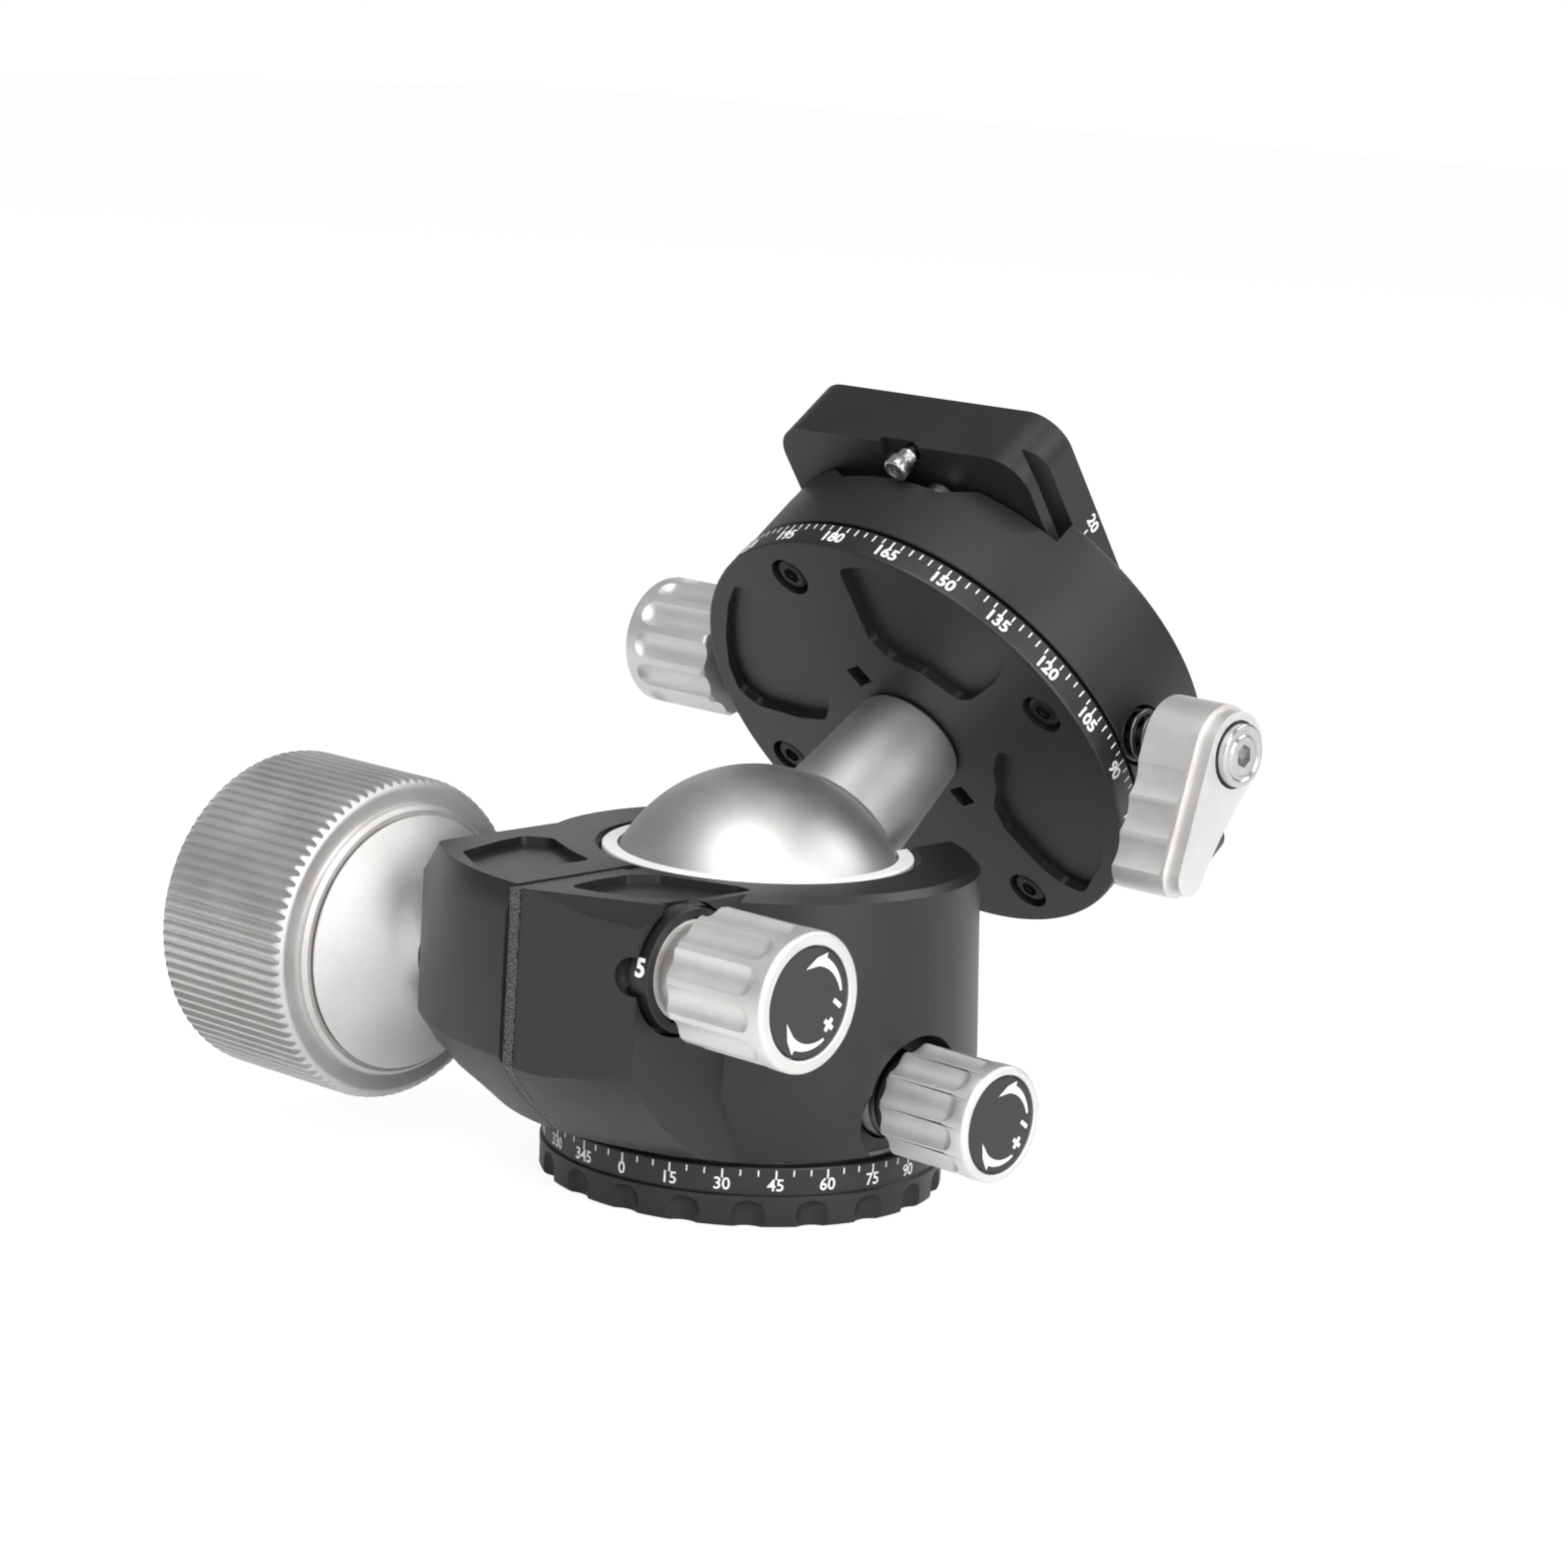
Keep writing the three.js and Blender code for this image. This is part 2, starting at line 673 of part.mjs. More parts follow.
/** Split housing. */
function housing() {
  const slit = block([-slitWidth, -earReach - overrun, housingFloor - overrun],
    [0, -boreRadius + overrun, housingTop + overrun]);
  const screwHole = placed(rod(clampScrewRadius + 1.5 * clearance, -clampScrewReach - overrun,
    jawFace + overrun), mainKnobFrame);
  const nutHole = placed(rod(clampNutRadius + clearance, -clampNutLength - 2 * clearance,
    overrun / 2), mainKnobFrame);
  const recess = placed(rod(frictionRecessRadius, frictionFace - frictionRecess,
    frictionFace + dialRadius), frictionFrame);
  const index = placed(rod(frictionIndexRadius, frictionFace - frictionRecess,
    frictionFace + overrun, bushingFacets).translate(-frictionRecessRadius, 0, 0), frictionFrame);
  const frictionHole = placed(rod(frictionScrewRadius + clearance, plungerLength,
    frictionFace, smallFacets), frictionFrame);
  const plungerHole = placed(rod(plungerRadius + clearance, -overrun / 2, plungerLength + overrun,
    smallFacets), frictionFrame);
  const spot = placed(rod(panLockSpotRadius, panLockSpot, housingWaistRadius + overrun), panLockFrame);
  const bushingHole = placed(rod(panBushingRadius + clearance, spindleRadius, panBushingEnd),
    panLockFrame);
  return cut(housingBlank(), boreCutter(), slit, notchCutter(notchHalf, 0), ...topPockets(),
    facetCutter(), screwHole, nutHole, recess, index, frictionHole, plungerHole, spot, bushingHole);
}

/** Speckled strip that fills the slit. */
function slitSeal() {
  const inner = -boreRadius - 2 * clearance;
  const strip = block([-slitWidth + sealInset, -slitEndReach, housingFloor + clearance],
    [-sealInset, inner, housingTop - clearance]);
  const underside = turned([[0, housingFloor], ...bowlFlank(), [earReach, housingTop],
    [0, housingTop]]);
  const screwHole = placed(rod(clampScrewRadius + 1.5 * clearance, -overrun, slitWidth + overrun),
    mainKnobFrame);
  const plungerHole = placed(rod(plungerRadius + clearance, -slitWidth - overrun, overrun,
    smallFacets), frictionFrame);
  return cut(common(strip, underside), screwHole, plungerHole);
}

/** Pale ring round the ball, cut where the stem drops into the housing's slot. */
function ballLiner() {
  const outer = boreRadius - clearance;
  const coneTop = housingTop - boreLip;
  const face = sphereProfile(sphereSeat, ballHeight, linerFoot, housingTop, 9);
  const ring = turned([[outer, linerFoot], [outer, coneTop - outer + linerTopRadius],
    [linerTopRadius, coneTop], [linerTopRadius, housingTop], ...face.reverse()]);
  return cut(ring, notchCutter(notchHalf, 0));
}

/** Collar with a hollowed cone between the jaw and the main knob. */
function knobCollar() {
  const foot = jawFace + clearance;
  const rim = jawFace + collarReach;
  const hollowShare = 0.4;
  const waist = new THREE.QuadraticBezierCurve(new THREE.Vector2(collarFootRadius, foot),
    new THREE.Vector2(collarFootRadius + hollowShare * (collarRimRadius - collarFootRadius),
      rim - hollowShare * collarReach),
    new THREE.Vector2(collarRimRadius, rim - clearance));
  const flank = waist.getPoints(4).map(({ x, y }) => [x, y]);
  return turned([[clampScrewRadius + clearance, foot], ...flank, [collarRimRadius, rim],
    [clampScrewRadius + clearance, rim]], largeFacets);
}

/** Hexagonal nut in the ear that the clamp screw pulls on. */
function clampNut() {
  const foot = -clampNutLength - clearance;
  return cut(rod(clampNutRadius, foot, -clearance, 6),
    rod(clampScrewRadius + clearance, foot - overrun, overrun));
}

/** Fluted barrel of the main knob, hollow behind its cap. */
function mainGrip() {
  const corners = Array.from({ length: 2 * mainFluteCount }, (_, i) => {
    const angle = (Math.PI * i) / mainFluteCount;
    const radius = i % 2 ? mainKnobRadius : mainKnobRadius - mainFluteDepth;
    return [radius * Math.cos(angle), radius * Math.sin(angle)];
  });
  const start = mainKnobStart;
  const end = mainKnobEnd;
  const inner = mainKnobRadius - mainKnobEdge;
  const chamfered = turned([[0, start], [inner, start], [mainKnobRadius, start + mainKnobEdge],
    [mainKnobRadius, end - mainKnobEdge], [inner, end], [0, end]]);
  const ringFoot = jawFace + collarReach + clearance;
  const ring = rod(mainRingRadius, ringFoot, start + overrun, largeFacets);
  const capSeat = end - mainCapThickness - 2 * clearance;
  const cavity = turned([[0, capSeat - mainCavityDepth], [mainCavityRadius, capSeat - mainCavityDepth],
    [mainCavityRadius, capSeat], [mainCapRadius + clearance, capSeat],
    [mainCapRadius + clearance, end + overrun], [0, end + overrun]]);
  const bore = rod(clampScrewRadius + clearance, ringFoot - overrun, capSeat, smallFacets);
  return cut(join(common(slab(corners, start, end), chamfered), ring), cavity, bore);
}

/** Cap of the main knob. */
function mainCap() {
  const foot = mainKnobEnd - mainCapThickness - clearance;
  const top = mainKnobEnd - clearance;
  return turned([[0, foot], [mainCapRadius, foot], [mainCapRadius, top - clearance],
    [mainCapRadius - 2 * clearance, top], [0, top]], gripFacets);
}

/** Clamp screw from the main knob to the nut beyond the slit. */
function clampScrew() {
  const capSeat = mainKnobEnd - mainCapThickness - 2 * clearance;
  const shoulder = capSeat - mainCavityDepth + clearance;
  const top = shoulder + clampScrewHead;
  return turned([[0, -clampScrewReach], [clampScrewRadius, -clampScrewReach],
    [clampScrewRadius, shoulder], [clampScrewHeadRadius, shoulder], [clampScrewHeadRadius, top],
    [0, top]], mediumFacets);
}

/** Small fluted grip with a seat for its cap and a bore for its screw. */
function smallGrip(radius, from, to, capRadius, boreRadius) {
  const seat = to - knobCapThickness - knobCapSink - clearance;
  const body = turned([[boreRadius, from], [radius - knobEdge, from], [radius, from + knobEdge],
    [radius, to - knobEdge], [radius - knobEdge, to], [capRadius + clearance, to],
    [capRadius + clearance, seat], [boreRadius, seat]], gripFacets);
  const flute = rod(knobFluteRadius, from - overrun, to - knobFluteStop, smallFacets)
    .translate(radius + knobFluteRadius - knobFluteDepth, 0, 0);
  return cut(body, ...around(flute, knobFluteCount));
}

/** Cap that sits in a small grip's face. */
function smallCap(radius, gripEnd) {
  const top = gripEnd - knobCapSink;
  const foot = top - knobCapThickness;
  return turned([[0, foot], [radius, foot], [radius, top - knobCapSink],
    [radius - knobCapSink, top], [0, top]], mediumFacets);
}

/** Plain screw of a small grip, ending behind its cap. */
function smallScrew(radius, from, gripEnd) {
  return rod(radius, from, gripEnd - knobCapThickness - knobCapSink - 2 * clearance, smallFacets);
}

/** Numbered cone at the foot of the friction knob. */
function frictionDial() {
  const foot = frictionFace - frictionRecess + clearance;
  const bore = frictionScrewRadius + clearance;
  return turned([[bore, foot], [dialRadius, foot], [dialRadius, foot + dialBand],
    [dialNoseRadius, dialEnd], [bore, dialEnd]], gripFacets);
}

/** Plunger that reaches into the slit and stops the jaw. */
function frictionPlunger() {
  return rod(plungerRadius, -plungerTip, plungerLength - plungerTip, smallFacets);
}

/** Bushing of the drum lock, with a collar outside the drum. */
function drumLockBushing() {
  const bore = drumScrewRadius + clearance;
  const foot = postRadius + 2 * clearance;
  const collarFoot = plateRadius + clearance;
  const end = collarFoot + drumCollar;
  return turned([[bore, foot], [drumBushingRadius, foot], [drumBushingRadius, collarFoot],
    [drumCollarRadius, collarFoot], [drumCollarRadius, end], [bore, end]], bushingFacets);
}

/** Ball with its tapered stem, spigot and screw hole. */
function ballAndStem() {
  const sphere = new THREE.SphereGeometry(ballRadius, largeFacets, largeFacets / 2).rotateX(Math.PI / 2);
  const stem = turned([[0, 0], [stemRootRadius, 0], [stemRootRadius, ballRadius - overrun],
    [stemTopRadius, stemTop], [spigotRadius, stemTop], [spigotRadius, plateTop - clearance],
    [0, plateTop - clearance]], mediumFacets);
  const hole = rod(centreScrewRadius + clearance, centreScrewFoot - overrun, plateTop, smallFacets);
  return cut(join(sphere, stem), hole);
}

/** The shallow pockets in the scale plate's underside. */
function platePockets() {
  const outlineShares = [
    [[0.01, 0.886], [0.01, 0.512], [0.07, 0.43], [0.22, 0.38], [0.36, 0.27], [0.44, 0.29],
      [0.6, 0.41], [0.69, 0.5], [0.72, 0.6], [0.58, 0.76], [0.35, 0.88], [0.15, 0.91]],
    [[-0.62, 0.7], [-0.73, 0.56], [-0.83, 0.38], [-0.9, 0.2], [-0.91, 0.06], [-0.84, -0.01],
      [-0.62, -0.03], [-0.46, -0.01], [-0.39, 0.1], [-0.36, 0.19], [-0.3, 0.31], [-0.38, 0.45]],
    [[0.46, 0.02], [0.39, -0.09], [0.36, -0.2], [0.3, -0.32], [0.31, -0.44], [0.42, -0.62],
      [0.5, -0.69], [0.6, -0.72], [0.69, -0.61], [0.78, -0.5], [0.86, -0.3], [0.91, -0.1],
      [0.8, 0.01]],
  ];
  return outlineShares.map((shares) =>
    slab(shares.map(([x, e]) => [x * plateRadius, -e * plateRadius]),
      plateFoot - overrun, plateFoot + platePocketDepth));
}

/** Numbered plate on the stem. */
function scalePlate() {
  const bore = spigotRadius + clearance;
  const body = turned([[bore, plateFoot], [plateRadius - plateEdge, plateFoot],
    [plateRadius, plateFoot + plateEdge], [plateRadius, plateTop - plateEdge],
    [plateRadius - plateEdge, plateTop], [bore, plateTop]]);
  const counterbore = rod(plateScrewHeadRadius + clearance, plateFoot - overrun,
    plateFoot + plateScrewSink, smallFacets);
  const hole = rod(plateScrewRadius + clearance, plateFoot, plateTop + overrun, smallFacets);
  const screwWay = join(counterbore, hole).translate(plateScrewCircle, 0, 0);
  const half = plateSocket / 2;
  const socket = block([plateSocketCircle - half, -half, plateFoot - overrun],
    [plateSocketCircle + half, half, plateFoot + plateScrewSink]);
  return cut(body, ...platePockets(), ...around(screwWay, plateScrewCount, plateScrewTurn),
    ...around(socket, 2, plateSocketTurn));
}

/** Screws that hold the scale plate to the post. */
function plateScrews() {
  const head = plateFoot + clearance;
  const shoulder = head + plateScrewHead;
  const tip = postFoot + postFlange - clearance;
  const screw = turned([[0, head], [plateScrewHeadRadius, head], [plateScrewHeadRadius, shoulder],
    [plateScrewRadius, shoulder], [plateScrewRadius, tip], [0, tip]], smallFacets)
    .translate(plateScrewCircle, 0, 0);
  return around(screw, plateScrewCount, plateScrewTurn);
}

/** Post that carries the drum, with the drum lock's groove. */
function panPost() {
  const bore = centreScrewRadius + clearance;
  const groove = postRadius - postGrooveDepth;
  const flangeTop = postFoot + postFlange;
  const body = turned([[bore, postFoot], [postFlangeRadius, postFoot], [postFlangeRadius, flangeTop],
    [postRadius, flangeTop], [postRadius, clampAxis - postGrooveHalf - clearance / 2],
    [groove, clampAxis - postGrooveHalf], [groove, clampAxis + postGrooveHalf],
    [postRadius, clampAxis + postGrooveHalf + clearance / 2], [postRadius, postTop],
    [spigotRadius, postTop], [spigotRadius, middleFloor], [bore, middleFloor]], mediumFacets);
  const hole = rod(plateScrewRadius + clearance, postFoot - overrun, flangeTop + overrun, smallFacets)
    .translate(plateScrewCircle, 0, 0);
  return cut(body, ...around(hole, plateScrewCount, plateScrewTurn));
}

/** Slippery washer between the post and the drum's web. */
function drumThrustWasher() {
  return sleeve(spigotRadius + clearance, postRadius - clearance, webFoot - clearance - drumWasher,
    webFoot - clearance, mediumFacets);
}

/** Washer that keeps the drum on its post. */
function drumRetainer() {
  const foot = middleFloor + clearance;
  return sleeve(centreScrewRadius + clearance, retainerRadius, foot, foot + retainerThickness,
    bushingFacets);
}

/** Long screw through retainer and post into the stem. */
function centreScrew() {
  const shoulder = middleFloor + retainerThickness + 2 * clearance;
  const top = shoulder + centreScrewHead;
  return turned([[0, centreScrewFoot], [centreScrewRadius, centreScrewFoot],
    [centreScrewRadius, shoulder], [centreScrewHeadRadius, shoulder], [centreScrewHeadRadius, top],
    [0, top]], mediumFacets);
}

/** Drum with the dovetail channel across its top. */
function drum() {
  const body = turned([[0, drumFloor], [drumRadius, drumFloor], [drumRadius, drumTop - drumEdge],
    [drumRadius - drumEdge, drumTop], [0, drumTop]]);
  const above = drumTop + overrun;
  const channel = slabAlongY([[-channelHalf, above], [-channelHalf, channelFloor],
    [-channelShelf, channelFloor], [-middleHalf, middleFloor], [middleHalf, middleFloor],
    [channelShelf, channelFloor], [channelHalf, channelFloor], [channelHalf, above]],
  -drumRadius - overrun, drumRadius + overrun);
  const flangeRoom = rod(postFlangeRadius + clearance, drumFloor - overrun,
    postFoot + postFlange + clearance, largeFacets);
  const postRoom = rod(postRadius + clearance, drumFloor - overrun, webFoot, largeFacets);
  const neck = rod(spigotRadius + clearance, webFoot - overrun, above, mediumFacets);
  const jawRoom = block([jawInner - clearance, -jawHalfLength - clearance, jawFoot - clearance],
    [jawOuter + jawTravel + clearance, jawHalfLength + clearance, above]);
  const fixedRoom = block([-fixedJawOuter - clearance, -jawHalfLength - clearance,
    fixedJawFoot - clearance], [-jawSeat + clearance, jawHalfLength + clearance, above]);
  const screwHoles = jawScrewPlaces().map(([x, y]) =>
    rod(jawScrewRadius + clearance, fixedJawFoot - jawScrewDepth - clearance, fixedJawFoot,
      smallFacets).translate(x, y, 0));
  const rodHole = placed(rod(rodRadius + clearance, jawInner, drumRadius + overrun, smallFacets),
    leverFrame);
  const coilSeat = placed(rod(coilRadius + coilWire, drumRadius - coilSeatDepth,
    drumRadius + overrun, smallFacets), leverFrame);
  const bushingHole = placed(rod(drumBushingRadius + clearance, postRadius - overrun,
    drumRadius + overrun), drumLockFrame);
  const sideSlots = around(block([drumRadius - sideSlotDepth, -drumRadius / 4, sideSlotLow],
    [drumRadius + overrun, drumRadius / 4, sideSlotHigh]), 2, 90 + sideSlotTurn);
  return cut(body, channel, flangeRoom, postRoom, neck, jawRoom, fixedRoom, ...screwHoles,
    rodHole, coilSeat, bushingHole, ...sideSlots);
}

/** Section of a jaw, from its foot to the lip that hooks over the dovetail. */
function jawSection(inner, outer, foot) {
  const lipFoot = dovetailShoulder + clearance;
  return [[inner, foot], [outer, foot], [outer, drumTop], [jawSeat - jawLip + clearance / 2, drumTop],
    [jawSeat - jawLip, drumTop - clearance / 2], [jawSeat, lipFoot], [jawSeat, channelFloor],
    [inner, channelFloor]];
}

/** Jaw that the pull rod draws in, with a blind hole for its spring. */
function movableJaw() {
  const body = slabAlongY(jawSection(jawInner, jawOuter, jawFoot), -jawHalfLength, jawHalfLength);
  const springHole = placed(rod(jawSpringRadius + clearance, jawInner - overrun,
    jawInner + jawSpringLength + clearance, smallFacets), leverFrame);
  const rodHole = placed(rod(rodRadius + clearance, jawInner + jawSpringLength, jawOuter + overrun,
    smallFacets), leverFrame);
  return cut(body, springHole, rodHole);
}

/** Spring that opens the jaw. */
function jawSpring() {
  return rod(jawSpringRadius, jawInner, jawInner + jawSpringLength, smallFacets);
}

/** Places of the fixed jaw's screws. */
function jawScrewPlaces() {
  const middle = -(jawSeat + fixedJawOuter) / 2 - clearance;
  return [[middle, -jawScrewSpacing / 2], [middle, jawScrewSpacing / 2]];
}

/** Jaw that is screwed to the drum. */
function fixedJaw() {
  const mirrored = jawSection(jawSeat, fixedJawOuter, fixedJawFoot).slice(0, -1)
    .map(([x, z]) => [-x, z]).reverse();
  const body = slabAlongY(mirrored, -jawHalfLength, jawHalfLength);
  const holes = jawScrewPlaces().map(([x, y]) => join(
    rod(jawScrewRadius + clearance, fixedJawFoot - overrun, drumTop, smallFacets),
    rod(jawScrewHeadRadius + clearance, drumTop - jawScrewHead - 2 * clearance, drumTop + overrun,
      smallFacets)).translate(x, y, 0));
  return cut(body, ...holes);
}

/** Screws of the fixed jaw. */
function jawScrews() {
  const top = drumTop - clearance;
  const shoulder = top - jawScrewHead;
  const tip = fixedJawFoot - jawScrewDepth;
  const screw = turned([[0, tip], [jawScrewRadius, tip], [jawScrewRadius, shoulder],
    [jawScrewHeadRadius, shoulder], [jawScrewHeadRadius, top], [0, top]], smallFacets);
  return jawScrewPlaces().map(([x, y]) => screw.clone().translate(x, y, 0));
}

/** Rod that draws the jaw in. */
function pullRod() {
  return rod(rodRadius, jawInner + jawSpringLength + 2 * clearance,
    leverEnd - 2 * leverScrewHead - jawTravel - 2 * clearance, smallFacets);
}

/** Coil spring round the pull rod, between the drum and the lever. */
function leverCoil() {
  const sides = 5;
  const steps = 8 * coilCurls;
  const wire = coilWire / 2;
  const from = drumRadius - coilSeatDepth + clearance + wire;
  const to = leverStart - clearance - wire;
  const positions = [];
  for (let i = 0; i <= steps; i += 1) {
    const turn = (2 * Math.PI * i) / 8;
    const z = from + ((to - from) * i) / steps;
    for (let j = 0; j < sides; j += 1) {
      const angle = (2 * Math.PI * j) / sides;
      const radius = coilRadius + wire * Math.cos(angle);
      positions.push(radius * Math.cos(turn), radius * Math.sin(turn), z + wire * Math.sin(angle));
    }
  }
  const faces = [];
  for (let i = 0; i < steps; i += 1) {
    for (let j = 0; j < sides; j += 1) {
      const a = i * sides + j;
      const b = i * sides + ((j + 1) % sides);
      faces.push(a, a + sides, b, b, a + sides, b + sides);
    }
  }
  for (let j = 1; j < sides - 1; j += 1) {
    faces.push(0, j, j + 1);
    faces.push(steps * sides, steps * sides + j + 1, steps * sides + j);
  }
  const coil = new THREE.BufferGeometry();
  coil.setAttribute("position", new THREE.Float32BufferAttribute(positions, 3));
  coil.setIndex(faces);
  coil.computeVertexNormals();
  console.log(`least gap of the lever's coil ${((to - from) / coilCurls - coilWire).toFixed(2)} mm`);
  return coil;
}

/** Outline of the lever: a round head tapering to a round tip along +X, waisted on its outer side. */
function leverOutline(headRadius, tipRadius) {
  const lean = THREE.MathUtils.radToDeg(Math.acos((headRadius - tipRadius) / leverLength));
  const head = arc(headRadius, lean, 360 - lean, 20);
  const tip = arc(tipRadius, -lean, lean, 8).map(([x, y]) => [x + leverLength, y]);
  const from = new THREE.Vector2(...tip.at(-1));
  const to = new THREE.Vector2(...head[0]);
  const bend = from.clone().add(to).divideScalar(2).sub(new THREE.Vector2(0, leverWaist));
  const waist = new THREE.QuadraticBezierCurve(from, bend, to).getPoints(6).slice(1, -1);
  return [...head, ...tip, ...waist.map(({ x, y }) => [x, y])];
}

/** Clamp lever with its stepped face and finger grooves. */
function lever() {
  const body = slab(leverOutline(leverHeadRadius, leverTipRadius), leverStart, leverStep);
  const face = slab(leverOutline(leverHeadRadius - leverInset, leverTipRadius - leverInset),
    leverStep - overrun, leverEnd);
  const groove = rod(leverGripRadius, leverStart - overrun, leverStep - leverInset, smallFacets);
  const flank = (x) => leverHeadRadius + ((leverTipRadius - leverHeadRadius) * x) / leverLength;
  const grooves = Array.from({ length: leverGripCount }, (_, i) => {
    const x = leverLength - i * leverGripPitch;
    return groove.clone().translate(x, -flank(x) - leverGripRadius + leverGripDepth, 0);
  });
  const headSeat = rod(leverScrewRadius + clearance, leverEnd - leverScrewHead, leverEnd + overrun);
  const bore = rod(rodRadius + clearance, leverStart - overrun, leverEnd - 2 * leverScrewHead);
  return cut(join(body, face), ...grooves, headSeat, bore).rotateZ(radians(leverTurn));
}

/** Screw in the lever's head, with a hexagonal socket. */
function leverScrew() {
  const foot = leverEnd - leverScrewHead + clearance;
  const top = leverEnd + leverScrewProud;
  const socket = rod(leverScrewRadius / 2.6, top - leverScrewHead / 1.5, top + overrun, 6);
  return cut(rod(leverScrewRadius, foot, top), socket);
}

/** Section of the camera plate, with the dovetail groove along both sides. */
function cameraPlateSection() {
  const half = cameraPlateWidth / 2;
  const right = [[half - cameraPlateEdge, cameraPlateFoot], [half, cameraPlateFoot + cameraPlateEdge],
    [half, dovetailShoulder], [dovetailApexHalf, dovetailApex], [half, dovetailLip],
    [half, cameraPlateTop - cameraPlateEdge], [half - cameraPlateEdge, cameraPlateTop]];
  const left = right.map(([x, z]) => [-x, z]).reverse();
  return [...right, ...left];
}

/** Places of the stop screws under both ends of the camera plate. */
function stopScrewPlaces() {
  const reach = cameraPlateLength / 2 - stopScrewInset;
  return [[stopOffset, cameraPlateShift - reach], [-stopOffset, cameraPlateShift + reach]];
}

/** Quick-release plate with a pad seat, a screw hole and a counterbore. */
function cameraPlate() {
  const from = cameraPlateShift - cameraPlateLength / 2;
  const to = cameraPlateShift + cameraPlateLength / 2;
  const bar = slabAlongY(cameraPlateSection(), from, to);
  const plan = slab(roundedOutline(cameraPlateWidth, cameraPlateLength, cameraPlateCorner),
    cameraPlateFoot - overrun, cameraPlateTop + overrun);
  const hole = rod(cameraScrewRadius + clearance, cameraPlateFoot - overrun, cameraPlateTop + overrun)
    .translate(0, cameraPlateShift, 0);
  const headSeat = rod(cameraScrewHeadRadius + clearance, cameraPlateFoot - overrun,
    cameraPlateFoot + cameraScrewHead + 2 * clearance).translate(0, cameraPlateShift, 0);
  const stopHoles = stopScrewPlaces().map(([sx, sy]) => rod(stopScrewShank + clearance,
    cameraPlateFoot - overrun, cameraPlateFoot + stopScrewDepth + clearance, smallFacets)
    .translate(sx, sy, 0));
  return cut(common(bar, plan), platePad(clearance), hole, headSeat, ...stopHoles);
}

/** Rounded rectangle about the camera plate's middle. */
function roundedOutline(width, length, corner) {
  const x = width / 2 - corner;
  const y = length / 2 - corner;
  const corners = [[x, y, 0], [-x, y, 90], [-x, -y, 180], [x, -y, 270]];
  return corners.flatMap(([cx, cy, turn]) =>
    arc(corner, turn, turn + 90, 4).map(([px, py]) => [px + cx, py + cy + cameraPlateShift]));
}

/** Rubber pad on the camera plate, open round the camera screw, grown by a margin. */
function platePad(margin) {
  const top = cameraPlateTop + padProud + margin;
  const foot = cameraPlateTop + padProud - padThickness - margin;
  const sheet = slab(roundedOutline(padWidth + 2 * margin, padLength + 2 * margin,
    cameraPlateCorner), foot, top);
  return cut(sheet, rod(padHoleRadius - margin, foot - overrun, top + overrun)
    .translate(0, cameraPlateShift, 0));
}

/** Stop screws below the camera plate. */
function stopScrews() {
  const top = cameraPlateFoot - clearance;
  const foot = top - stopScrewHead;
  const tip = cameraPlateFoot + stopScrewDepth;
  const screw = turned([[0, foot], [stopScrewRadius, foot], [stopScrewRadius, top],
    [stopScrewShank, top], [stopScrewShank, tip], [0, tip]], smallFacets);
  return stopScrewPlaces().map(([x, y]) => screw.clone().translate(x, y, 0));
}

/** Camera screw, captive in the plate. */
function cameraScrew() {
  const foot = cameraPlateFoot + clearance;
  const shoulder = foot + cameraScrewHead;
  const top = cameraPlateTop + cameraScrewReach;
  return turned([[0, foot], [cameraScrewHeadRadius, foot], [cameraScrewHeadRadius, shoulder],
    [cameraScrewRadius, shoulder], [cameraScrewRadius, top - clearance],
    [cameraScrewRadius - clearance, top], [0, top]], mediumFacets).translate(0, cameraPlateShift, 0);
}

const basePieces = assembly(bodyFrame,
  piece("base_ring", baseRing(), blackAlloy),
  piece("thread_insert", threadInsert(), polishedSteel),
  piece("pan_thrust_washer", panThrustWasher(), whitePolymer),
  piece("pan_spindle", panSpindle(), satinSilver),
  ...numbered("base_screw", baseScrews(), polishedSteel),
  piece("lower_seat", lowerSeat(), whitePolymer),
  piece("seat_spring", seatSpring(), springSteel));

const housingPieces = assembly(bodyFrame,
  piece("housing", housing(), blackAlloy),
  piece("spindle_ring", sleeve(spindleRadius + clearance, boreRadius - clearance, housingFloor,
    housingFloor + ringLip), blackAlloy),
  piece("ball_liner", ballLiner(), whitePolymer),
  piece("slit_seal", slitSeal(), darkPolymer));

const mainKnobPieces = assembly(mainKnobFrame,
  piece("knob_collar", knobCollar(), satinSilver),
  piece("clamp_nut", clampNut(), polishedSteel),
  piece("main_knob_grip", mainGrip(), satinSilver),
  piece("main_knob_cap", mainCap(), blackAlloy),
  piece("clamp_screw", clampScrew(), polishedSteel));

const frictionStart = dialEnd + clearance;
const frictionEnd = frictionStart + frictionKnobLength;
const frictionPieces = assembly(frictionFrame,
  piece("friction_plunger", frictionPlunger(), brass),
  piece("friction_dial", frictionDial(), satinSilver),
  piece("friction_knob_grip", smallGrip(frictionKnobRadius, frictionStart, frictionEnd,
    frictionCapRadius, frictionScrewRadius + clearance), satinSilver),
  piece("friction_knob_cap", smallCap(frictionCapRadius, frictionEnd), blackAlloy),
  piece("friction_screw", smallScrew(frictionScrewRadius, plungerLength + 2 * clearance,
    frictionEnd), polishedSteel));

